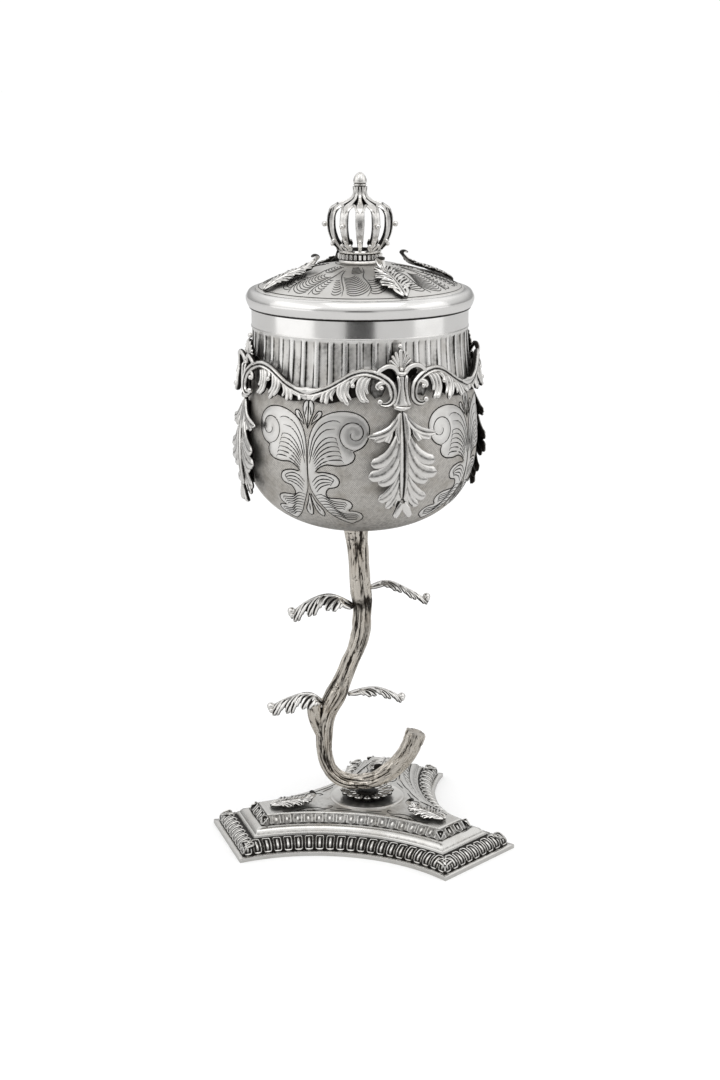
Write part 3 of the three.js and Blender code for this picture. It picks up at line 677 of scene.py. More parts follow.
class CastingRow:
    """Lays copies of a small casting along routes with Geometry Nodes."""

    def __init__(self) -> None:
        """Makes the tree."""
        self._tree = bpy.data.node_groups.new("casting_row", "GeometryNodeTree")
        self._sockets: dict[str, str] = {}
        self._make_tree()

    def _make_tree(self) -> None:
        """Makes the tree: a route, even places along it, and a casting at each."""
        interface = self._tree.interface
        interface.new_socket(name="Route", in_out="INPUT", socket_type="NodeSocketGeometry")
        for name, kind in (
            ("Casting", "NodeSocketObject"),
            ("Spacing", "NodeSocketFloat"),
            ("Finish", "NodeSocketMaterial"),
        ):
            socket = interface.new_socket(name=name, in_out="INPUT", socket_type=kind)
            self._sockets[name] = socket.identifier
        interface.new_socket(name="Row", in_out="OUTPUT", socket_type="NodeSocketGeometry")
        node = self._tree.nodes.new
        given = node("NodeGroupInput")
        to_curve = node("GeometryNodeMeshToCurve")
        resample = node("GeometryNodeResampleCurve")
        resample.mode = "LENGTH"
        tangent = node("GeometryNodeInputTangent")
        align = node("FunctionNodeAlignRotationToVector")
        align.axis = "X"
        align.pivot_axis = "Z"
        casting = node("GeometryNodeObjectInfo")
        copies = node("GeometryNodeInstanceOnPoints")
        realise = node("GeometryNodeRealizeInstances")
        finish = node("GeometryNodeSetMaterial")
        result = node("NodeGroupOutput")
        for source, output, target, taker in (
            (given, "Route", to_curve, "Mesh"),
            (to_curve, "Curve", resample, "Curve"),
            (given, "Spacing", resample, "Length"),
            (resample, "Curve", copies, "Points"),
            (tangent, "Tangent", align, "Vector"),
            (align, "Rotation", copies, "Rotation"),
            (given, "Casting", casting, "Object"),
            (casting, "Geometry", copies, "Instance"),
            (copies, "Instances", realise, "Geometry"),
            (realise, "Geometry", finish, "Geometry"),
            (given, "Finish", finish, "Material"),
            (finish, "Geometry", result, "Row"),
        ):
            self._tree.links.new(source.outputs[output], target.inputs[taker])

    def lay(
        self,
        routes: Sequence[Array],
        casting: Casting,
        spacing: float,
        finish: Material,
        closed: bool = False,
    ) -> bpy.types.Mesh:
        """Lays a casting along level routes.

        Args:
            routes: Positions along each route, in millimetres.
            casting: The casting, with x along the route, y to its left and z up.
            spacing: Distance between two castings.
            finish: Their material.
            closed: Whether each route ends where it starts.

        Returns:
            The row as one mesh, in metres.
        """
        points: list[Array] = []
        edges: list[tuple[int, int]] = []
        for route in routes:
            start = sum(len(part) for part in points)
            points.append(np.asarray(route, float))
            edges += [(start + i, start + i + 1) for i in range(len(route) - 1)]
            if closed:
                edges.append((start + len(route) - 1, start))
        mesh = bpy.data.meshes.new("row_route")
        mesh.from_pydata((np.vstack(points) * MM).tolist(), edges, [])
        carrier = bpy.data.objects.new("row_route", mesh)
        bpy.context.scene.collection.objects.link(carrier)
        element = casting.build("row_casting", [finish])
        modifier = carrier.modifiers.new("row", "NODES")
        modifier.node_group = self._tree
        modifier[self._sockets["Casting"]] = element
        modifier[self._sockets["Spacing"]] = spacing * MM
        modifier[self._sockets["Finish"]] = finish
        bpy.context.view_layer.update()
        graph = bpy.context.evaluated_depsgraph_get()
        row = bpy.data.meshes.new_from_object(carrier.evaluated_get(graph))
        for scratch in (carrier, element):
            data = scratch.data
            bpy.data.objects.remove(scratch)
            bpy.data.meshes.remove(data)
        return row


# Finishes


class Ground(Enum):
    """How the matted ground between polished leaves is struck."""

    PLAIN = "plain"
    ROUND_BOWL = "round_bowl"
    FLAT = "flat"


@dataclass(frozen=True)
class SilverFinish:
    """One finish of the silver.

    Attributes:
        name: The material's name.
        bright: Colour where it is rubbed clean.
        dark: Colour of the oxide in its recesses, also given to painted shade.
        tarnish: Colour of the thin tarnish on open surfaces.
        tarnish_share: How much of the open surface the tarnish tints.
        roughness: Roughness where it is rubbed clean.
        matt: Roughness of recesses and of matted ground.
        grain_scale: Size of the cast grain, as a noise scale.
        grain_depth: Strength of the cast grain.
        ground: How its matted ground is struck.
    """

    name: str
    bright: tuple[float, float, float]
    dark: tuple[float, float, float] = (0.022, 0.02, 0.018)
    tarnish: tuple[float, float, float] = (0.42, 0.385, 0.335)
    tarnish_share: float = 0.25
    roughness: float = 0.2
    matt: float = 0.5
    grain_scale: float = 900
    grain_depth: float = 0.12
    ground: Ground = Ground.PLAIN


POLISHED = SilverFinish("polished_silver", (0.88, 0.87, 0.855), roughness=0.17, grain_depth=0.01)
CHASED = SilverFinish("chased_silver", (0.84, 0.825, 0.8), tarnish_share=0.35, roughness=0.23)
BOWL_GROUND = SilverFinish(
    "bowl_silver", (0.84, 0.83, 0.81), tarnish_share=0.5, roughness=0.27, matt=0.55,
    ground=Ground.ROUND_BOWL,
)
LID_GROUND = SilverFinish(
    "lid_silver", (0.82, 0.81, 0.79), tarnish_share=0.35, roughness=0.3, ground=Ground.FLAT
)
FOOT_SILVER = SilverFinish(
    "foot_silver", (0.74, 0.73, 0.705), tarnish_share=0.6, roughness=0.25, matt=0.45
)
BARK = SilverFinish(
    "bark_silver",
    (0.68, 0.635, 0.57),
    dark=(0.04, 0.034, 0.028),
    tarnish=(0.5, 0.42, 0.33),
    tarnish_share=0.6,
    roughness=0.25,
    grain_depth=0.3,
)


class NodeBench:
    """Makes and links shader nodes in one tree."""

    def __init__(self, tree: bpy.types.NodeTree) -> None:
        """Takes the tree that the nodes go into."""
        self.tree = tree

    def _feed(self, value: object, socket: Socket) -> None:
        """Gives an input a plain value, or links an output to it."""
        if isinstance(value, Socket):
            self.link(value, socket)
        else:
            socket.default_value = value

    def node(self, kind: str, **settings: object) -> bpy.types.Node:
        """Makes a node and sets its properties."""
        made = self.tree.nodes.new(kind)
        for name, value in settings.items():
            setattr(made, name, value)
        return made

    def link(self, source: Socket, target: Socket) -> None:
        """Links an output to an input."""
        self.tree.links.new(source, target)

    def math(self, operation: str, *values: object, clamp: bool = False) -> Socket:
        """Makes a Math node.

        Args:
            operation: What it works out.
            values: Numbers and outputs, in the order of its inputs.
            clamp: Whether the result stays between 0 and 1.

        Returns:
            Its output.
        """
        made = self.node("ShaderNodeMath", operation=operation, use_clamp=clamp)
        for socket, value in zip(made.inputs, values):
            self._feed(value, socket)
        return made.outputs[0]

    def mix(self, factor: object, first: object, second: object) -> Socket:
        """Mixes two colours.

        Args:
            factor: How much of the second colour there is.
            first: A colour or an output.
            second: A colour or an output.

        Returns:
            The mixed colour's output.
        """
        made = self.node("ShaderNodeMix", data_type="RGBA")
        for number, value in ((0, factor), (6, first), (7, second)):
            self._feed(value, made.inputs[number])
        return made.outputs[2]

    def ramp(self, value: object, low: float, high: float) -> Socket:
        """Makes a smooth step from 0 at low to 1 at high.

        Args:
            value: The output that is stepped.
            low: Where the step starts.
            high: Where it ends.

        Returns:
            The step's output.
        """
        made = self.node("ShaderNodeMapRange", interpolation_type="SMOOTHSTEP")
        self._feed(value, made.inputs["Value"])
        made.inputs["From Min"].default_value = low
        made.inputs["From Max"].default_value = high
        return made.outputs["Result"]

    def noise(self, place: Socket, scale: object, detail: float) -> Socket:
        """Makes a noise over a place.

        Args:
            place: Where it is read.
            scale: Its scale, as a number or an output.
            detail: How fine it goes.

        Returns:
            Its value's output.
        """
        made = self.node("ShaderNodeTexNoise")
        self.link(place, made.inputs["Vector"])
        self._feed(scale, made.inputs["Scale"])
        made.inputs["Detail"].default_value = detail
        return made.outputs["Fac"]

    def bump(self, height: Socket, distance: float, strength: object) -> bpy.types.Node:
        """Makes a bump.

        Args:
            height: The output that is taken as a height.
            distance: How high it stands, in metres.
            strength: How strong it is, as a number or an output.

        Returns:
            The node.
        """
        made = self.node("ShaderNodeBump")
        made.inputs["Distance"].default_value = distance
        self._feed(strength, made.inputs["Strength"])
        self.link(height, made.inputs["Height"])
        return made

    def attribute(self, name: str) -> Socket:
        """Reads a mark of the mesh."""
        return self.node("ShaderNodeAttribute", attribute_name=name).outputs["Fac"]


class Finishes:
    """Makes the silver's materials from two shared node groups."""

    def __init__(self, bowl: BowlForm) -> None:
        """Makes the groups, one of which follows the bowl's form."""
        self._bowl = bowl
        self._age = self._make_age_group()
        self._hatch = self._make_hatch_group()

    @staticmethod
    def _group(
        name: str, inputs: Sequence[tuple[str, str]], outputs: Sequence[tuple[str, str]]
    ) -> bpy.types.NodeTree:
        """Makes a shader group.

        Args:
            name: Its name.
            inputs: Names and kinds of its inputs.
            outputs: Names and kinds of its outputs.

        Returns:
            The group, still without nodes.
        """
        group = bpy.data.node_groups.new(name, "ShaderNodeTree")
        for in_out, sockets in (("INPUT", inputs), ("OUTPUT", outputs)):
            for socket_name, kind in sockets:
                group.interface.new_socket(name=socket_name, in_out=in_out, socket_type=kind)
        return group

    def _make_age_group(self) -> bpy.types.NodeTree:
        """Makes the group that turns the mark of rubbing and painted shade into oxide and painted shade,
        tarnish and roughness.
        """
        colours = ("Bright", "Dark", "Tarnish")
        numbers = ("Tarnish share", "Roughness", "Matt", "Grain scale", "Grain depth", "Hatch")
        inputs = [(name, "NodeSocketColor") for name in colours]
        inputs += [(name, "NodeSocketFloat") for name in numbers]
        outputs = [
            ("Colour", "NodeSocketColor"),
            ("Roughness", "NodeSocketFloat"),
            ("Normal", "NodeSocketVector"),
        ]
        group = self._group("aged_silver", inputs, outputs)
        bench = NodeBench(group)
        given = bench.node("NodeGroupInput")
        result = bench.node("NodeGroupOutput")
        place = bench.node("ShaderNodeTexCoord").outputs["Object"]
        wear = bench.attribute("wear")
        ground = bench.attribute("ground")
        blotches = bench.noise(place, 120, 4)
        specks = bench.noise(place, 700, 3)
        spread = bench.math("MULTIPLY_ADD", bench.math("SUBTRACT", specks, 0.5), 0.5, wear)
        # Low values of the mark get the dark colour: real oxide and painted shade alike.
        clean_and_unshaded = bench.ramp(spread, 0.08, 0.72)
        stained = bench.ramp(blotches, 0.42, 0.7)
        stain = bench.math("MULTIPLY", stained, given.outputs["Tarnish share"])
        kept = bench.math("SUBTRACT", 1.15, wear)
        kept = bench.math("ADD", kept, bench.math("MULTIPLY", ground, 0.5))
        tint = bench.math("MULTIPLY", stain, kept, clamp=True)
        open_colour = bench.mix(tint, given.outputs["Bright"], given.outputs["Tarnish"])
        struck = bench.math("MULTIPLY", given.outputs["Hatch"], ground)
        dulled = bench.math("MULTIPLY", struck, 0.7)
        open_colour = bench.mix(dulled, open_colour, given.outputs["Tarnish"])
        colour = bench.mix(clean_and_unshaded, given.outputs["Dark"], open_colour)
        bench.link(colour, result.inputs["Colour"])
        open_rough = bench.math(
            "MULTIPLY_ADD",
            bench.math("SUBTRACT", given.outputs["Matt"], given.outputs["Roughness"]),
            bench.math("MAXIMUM", ground, bench.math("SUBTRACT", 1.0, clean_and_unshaded)),
            given.outputs["Roughness"],
        )
        rough = bench.math("MULTIPLY_ADD", bench.math("SUBTRACT", blotches, 0.5), 0.12, open_rough)
        bench.link(bench.math("MAXIMUM", rough, 0.05), result.inputs["Roughness"])
        grain = bench.noise(place, given.outputs["Grain scale"], 3)
        grain_bump = bench.bump(grain, 0.2 * MM, given.outputs["Grain depth"])
        hatch_bump = bench.bump(struck, 0.12 * MM, 0.6)
        bench.link(grain_bump.outputs["Normal"], hatch_bump.inputs["Normal"])
        bench.link(hatch_bump.outputs["Normal"], result.inputs["Normal"])
        return group

    def _make_hatch_group(self) -> bpy.types.NodeTree:
        """Makes the group that strikes two crossed sets of fine lines over flat coordinates."""
        group = self._group(
            "hatched_ground", [("Place", "NodeSocketVector")], [("Hatch", "NodeSocketFloat")]
        )
        bench = NodeBench(group)
        given = bench.node("NodeGroupInput")
        result = bench.node("NodeGroupOutput")
        split = bench.node("ShaderNodeSeparateXYZ")
        bench.link(given.outputs["Place"], split.inputs[0])
        wobble = bench.noise(given.outputs["Place"], 260, 2)
        pitch = 0.95 * MM
        lines = []
        for side in (1, -1):
            slant = bench.math("MULTIPLY_ADD", split.outputs["Y"], float(side), split.outputs["X"])
            bent = bench.math("MULTIPLY_ADD", wobble, 1.2 * MM, slant)
            lines.append(bench.math("SINE", bench.math("MULTIPLY", bent, TURN / pitch)))
        crossed = bench.math("MAXIMUM", *lines)
        bench.link(bench.math("MULTIPLY_ADD", crossed, 0.5, 0.5, clamp=True), result.inputs["Hatch"])
        return group

    def _place(self, bench: NodeBench, ground: Ground) -> Socket:
        """Gives the flat coordinates of a matted ground.

        Args:
            bench: The bench of the material.
            ground: How the ground is struck.

        Returns:
            Coordinates that run round the bowl, or the object's own.
        """
        place = bench.node("ShaderNodeTexCoord").outputs["Object"]
        if ground is not Ground.ROUND_BOWL:
            return place
        split = bench.node("ShaderNodeSeparateXYZ")
        bench.link(place, split.inputs[0])
        from_axis = bench.math("SUBTRACT", split.outputs["X"], self._bowl.axis_x * MM)
        angle = bench.math("ARCTAN2", split.outputs["Y"], from_axis)
        joined = bench.node("ShaderNodeCombineXYZ")
        bench.link(bench.math("MULTIPLY", angle, self._bowl.belly_radius * MM), joined.inputs["X"])
        bench.link(split.outputs["Z"], joined.inputs["Y"])
        return joined.outputs[0]

    def make(self, finish: SilverFinish) -> Material:
        """Makes one finish's material.

        Args:
            finish: The finish.

        Returns:
            The material.
        """
        material = bpy.data.materials.new(finish.name)
        material.use_nodes = True
        bench = NodeBench(material.node_tree)
        shader = material.node_tree.nodes["Principled BSDF"]
        shader.inputs["Metallic"].default_value = 1.0
        aged = bench.node("ShaderNodeGroup", node_tree=self._age)
        for name, value in (
            ("Bright", (*finish.bright, 1)),
            ("Dark", (*finish.dark, 1)),
            ("Tarnish", (*finish.tarnish, 1)),
            ("Tarnish share", finish.tarnish_share),
            ("Roughness", finish.roughness),
            ("Matt", finish.matt),
            ("Grain scale", finish.grain_scale),
            ("Grain depth", finish.grain_depth),
        ):
            aged.inputs[name].default_value = value
        if finish.ground is not Ground.PLAIN:
            hatch = bench.node("ShaderNodeGroup", node_tree=self._hatch)
            bench.link(self._place(bench, finish.ground), hatch.inputs["Place"])
            bench.link(hatch.outputs["Hatch"], aged.inputs["Hatch"])
        bench.link(aged.outputs["Colour"], shader.inputs["Base Color"])
        bench.link(aged.outputs["Roughness"], shader.inputs["Roughness"])
        bench.link(aged.outputs["Normal"], shader.inputs["Normal"])
        return material


# Engraving


@dataclass(frozen=True)
class Motif:
    """An engraved motif, drawn for the right half and mirrored.

    Attributes:
        outlines: Closed outlines of the polished leaves.
        strokes: Single cut lines.
        fans: Pairs of lines with a number of lines that are laid between them.
    """

    outlines: Sequence[Sequence[Point]]
    strokes: Sequence[Sequence[Point]]
    fans: Sequence[tuple[Sequence[Point], Sequence[Point], int]]

    def lines(self) -> list[Array]:
        """Lists all the cut lines of the right half, without the outlines."""
        drawn = [smooth_path(stroke, max(12, 3 * len(stroke))) for stroke in self.strokes]
        for first, last, count in self.fans:
            start = smooth_path(first, 12)
            end = smooth_path(last, 12)
            for share in np.linspace(0, 1, count):
                drawn.append((1 - share) * start + share * end)
        return drawn

    def leaf_marks(self, u: Array, v: Array) -> tuple[Array, Array]:
        """Tells where the polished leaves are.

        Args:
            u: Distances from the motif's axis.
            v: Heights in the motif's own coordinates.

        Returns:
            How much each place belongs to a leaf, and how far it stands from a cut line, from
            0 on a line to 1 between lines.
        """
        flat = np.stack([np.abs(u), v], axis=-1).reshape(-1, 2)
        lines = self.lines()
        drawn = np.vstack([*lines, *self.outlines])
        near = np.all((flat > drawn.min(axis=0) - 1) & (flat < drawn.max(axis=0) + 1), axis=1)
        cut = np.full(near.sum(), FAR)
        leaf = np.zeros(len(flat))
        for outline in self.outlines:
            edge_line = smooth_path(outline, 160, closed=True)
            inside = lies_inside(flat[near], edge_line)
            edge = distance_to_line(flat[near], np.vstack([edge_line, edge_line[:1]]))
            leaf[near] = np.maximum(leaf[near], np.where(inside, ease(0, 0.6, edge), 0))
            cut = np.where(inside, np.minimum(edge, cut), cut)
        for line in lines:
            cut = np.minimum(cut, distance_to_line(flat[near], line))
        between = np.ones(len(flat))
        between[near] = 1 - np.exp(-cut / 0.75)
        return leaf.reshape(u.shape), between.reshape(u.shape)


def spiral(
    centre: Point, radii: tuple[float, float], angles: tuple[float, float], knots: int = 14
) -> list[list[float]]:
    """Lays knots along a spiral.

    Args:
        centre: Its middle.
        radii: Radius at its start and at its end.
        angles: Angle at its start and at its end, in degrees.
        knots: How many knots it gets.

    Returns:
        The knots.
    """
    share = np.linspace(0, 1, knots)
    radius = radii[0] + (radii[1] - radii[0]) * share
    angle = np.radians(angles[0] + (angles[1] - angles[0]) * share)
    u = centre[0] + radius * np.cos(angle)
    v = centre[1] + radius * np.sin(angle)
    return np.stack([u, v], axis=1).tolist()


BOWL_MOTIF = Motif(
    outlines=[
        [
            (0.3, 173.5), (0.3, 188), (1.6, 195.6), (4.4, 200.4), (8.6, 203.3), (14.0, 204.7),
            (19.6, 204.3), (23.6, 202.3), (25.8, 199.2), (26.1, 195.4), (24.4, 191), (21.6, 188.7),
            (19.6, 188.2), (20.3, 186.2), (19.4, 183.8), (16.6, 182.2), (12.6, 181.7), (8.6, 182.0),
            (5.4, 180.6), (3.4, 178.2), (6.4, 178.6), (9.6, 178.3), (12.4, 177.2), (13.7, 175.2),
            (13.2, 173.0), (11.2, 171.9), (9.0, 171.6), (7.6, 169.6), (7.8, 167.2), (10.6, 167.0),
            (14.6, 166.8), (17.8, 165.6), (18.9, 163.6), (17.8, 161.8), (16.0, 160.9), (18.4, 160.9),
            (21.6, 160.3), (23.7, 158.6), (23.2, 156.4), (20.6, 155.1), (17.6, 153.9), (11.7, 156.3),
            (7.4, 159.4), (4.0, 164.0), (1.5, 168.8),
        ],
        [(0, 196.8), (1.1, 200.4), (2.4, 204.2), (2.2, 207.6), (0, 208.8), (0, 203)],
        [(1.6, 198.4), (3.0, 202.2), (5.0, 204.6), (6.4, 203.6), (5.2, 201.4), (3.0, 199.8)],
        [(0.3, 168.6), (2.0, 164.4), (4.6, 160.4), (4.0, 157.2), (1.8, 158.4), (0.5, 162)],
    ],
    strokes=[
        spiral((19.9, 195.3), (7.0, 1.2), (-92, -560)),
        [(0.9, 185), (2.6, 193), (6.4, 198.8), (11.4, 200.9), (14.2, 200.0)],
        [(1.0, 182), (3.4, 191.4), (7.4, 196.4), (12.0, 197.4)],
        [(1.3, 202.5), (0.8, 206)],
        [(2.9, 200.6), (4.6, 203.2)],
        [(1.5, 163.6), (2.7, 160)],
    ],
    fans=[
        (
            [(2.4, 185.0), (4.8, 190.0), (8.4, 193.4), (12.2, 193.6), (12.8, 192.2)],
            [(3.6, 179.9), (6.6, 182.6), (10.2, 184.0), (14.6, 184.2), (15.6, 183.2)],
            6,
        ),
        (
            [(1.8, 173.8), (4.4, 176.6), (7.8, 177.2), (11.2, 175.8), (11.0, 174.4)],
            [(3.2, 169.4), (5.4, 171.8), (7.6, 172.9), (9.8, 173.4), (10.0, 172.8)],
            4,
        ),
        (
            [(2.6, 167.8), (5.6, 168.4), (10.0, 165.7), (15.4, 165.2), (16.4, 163.9)],
            [(4.8, 163.6), (8.0, 163.8), (11.4, 162.2), (14.6, 162.2), (15.0, 161.6)],
            4,
        ),
        (
            [(5.6, 162.2), (9.4, 162.4), (14.4, 159.4), (20.0, 159.4), (21.6, 158.2)],
            [(9.4, 158.2), (12.6, 157.8), (16.2, 156.2), (19.6, 156.4), (20.4, 156.2)],
            4,
        ),
    ],
)


def shell(
    start: Point, end: Point, radii: tuple[float, float], count: int, span: float = 74
) -> list[list[list[float]]]:
    """Draws nested C strokes that bulge the way they follow each other.

    Args:
        start: Centre of the first stroke's curve.
        end: Centre of the last stroke's curve.
        radii: Radius of the first and the last stroke.
        count: How many strokes there are.
        span: Degrees that each stroke runs to either side.

    Returns:
        The strokes, each as knots.
    """
    middle = math.degrees(math.atan2(end[1] - start[1], end[0] - start[0]))
    strokes = []
    for share in np.linspace(0, 1, count):
        centre = [a + share * (b - a) for a, b in zip(start, end)]
        radius = radii[0] + share * (radii[1] - radii[0])
        angles = (middle - span, middle + span)
        strokes.append(spiral(centre, (radius, 0.9 * radius), angles, knots=6))
    return strokes


LID_MOTIF = Motif(
    outlines=[],
    strokes=[
        *shell((4.4, 25.6), (12.2, 37.4), (2.6, 5.2), 11),
        *shell((15.2, 28.4), (21.0, 37.6), (1.9, 3.6), 7),
        *shell((1.3, 30.0), (4.2, 39.8), (0.9, 2.3), 7),
        *shell((3.0, 13.6), (6.0, 20.6), (1.3, 2.5), 6),
        [(7.6, 42.6), (6.4, 37.4), (3.6, 31.4), (1.4, 25.6), (0.5, 19)],
        [(18.4, 42.4), (18.2, 37.6), (14.4, 31.4), (10.8, 26.4), (9.2, 21.0), (6.4, 14.8)],
    ],
    fans=[],
)

FOOT_MOTIF = Motif(
    outlines=[],
    strokes=[
        [(9, 43), (12, 37), (11, 31), (15, 27), (21, 25.5), (24, 22.5), (21, 20.5), (18, 22)],
        [(28, 24.4), (38, 22), (48, 20.6), (60, 20.4)],
        [(30, 21), (40, 19.6), (50, 18.9)],
    ],
    fans=[([(11, 40), (13.5, 36), (14.5, 33.4)], [(17, 30.5), (20.5, 28.6), (24.5, 25.6)], 5)],
)


class Engraver:
    """Cuts fine dark lines into a carrier."""

    def __init__(self, casting: Casting, half_width: float) -> None:
        """Takes the carrier, and half of the width of a line."""
        self._casting = casting
        self._half_width = half_width

    def cut(self, chart: Chart, line: Array, steps: int) -> None:
        """Cuts one line, with ends that run out to points.

        Args:
            chart: Where it lies.
            line: Its route as (u, v).
            steps: Stations along it.
        """
        path = smooth_path(line, steps)
        route = np.column_stack([path, np.zeros(steps)])
        place = chart.place(route)
        run = directions(place)
        over = chart.place(route + [0, 0, 1.0]) - place
        over /= np.linalg.norm(over, axis=1, keepdims=True)
        across = np.cross(over, run)
        share = np.linspace(0, 1, steps)
        half = self._half_width * (0.35 + 0.65 * np.sin(math.pi * share) ** 0.6)
        section = [(-1.2, 0.06), (-0.7, 0.15), (0.7, 0.15), (1.2, 0.06), (0, -0.2)]
        corners = [place + across * (side * half)[:, None] + over * up for side, up in section]
        self._casting.skin(np.stack(corners, axis=1), 0)

    def engrave(self, chart: Chart, motif: Motif) -> None:
        """Cuts a motif and its mirror image.

        Args:
            chart: Where it lies.
            motif: What is cut.
        """
        for side in (1, -1):
            for line in motif.lines():
                self.cut(chart, np.array(mirrored(line, side)), steps=len(line))
            for outline in motif.outlines:
                steps = 5 * len(outline) // 2
                closed = smooth_path(outline, steps, closed=True)
                closed = np.vstack([closed, closed[:1]])
                self.cut(chart, np.array(mirrored(closed, side)), steps=steps)


def distance_to_line(points: Array, line: Array) -> Array:
    """Gives each point's distance from an open line.

    Args:
        points: Rows of (u, v).
        line: The line's rows of (u, v).

    Returns:
        The distances.
    """
    nearest = np.full(len(points), FAR)
    for a, b in zip(line[:-1], line[1:]):
        span = b - a
        share = np.clip(((points - a) @ span) / (span @ span + 1e-12), 0, 1)
        nearest = np.minimum(nearest, np.linalg.norm(points - a - share[:, None] * span, axis=1))
    return nearest


def lies_inside(points: Array, outline: Array) -> Array:
    """Tells which points lie inside a closed outline.

    Args:
        points: Rows of (u, v).
        outline: The outline's rows of (u, v), without its first point again at the end.

    Returns:
        True for each point inside.
    """
    inside = np.zeros(len(points), bool)
    for a, b in zip(outline, np.roll(outline, -1, axis=0)):
        if a[1] == b[1]:
            continue
        crosses = (a[1] > points[:, 1]) != (b[1] > points[:, 1])
        at = a[0] + (points[:, 1] - a[1]) * (b[0] - a[0]) / (b[1] - a[1])
        inside ^= crosses & (points[:, 0] < at)
    return inside


# Patterns of the cast ornament


@dataclass(frozen=True)
class Frond:
    """One frond: its route, half widths, half height, groove, marks at its foot and back, with painted
    shade on its sides, and mirror image.
    """

    knots: Sequence[Point]
    width: Sequence[float]
    height: float = 1.1
    groove: float = 0
    low: float = -0.3
    high: float = 1.0
    both: bool = True
    steps: int = 18
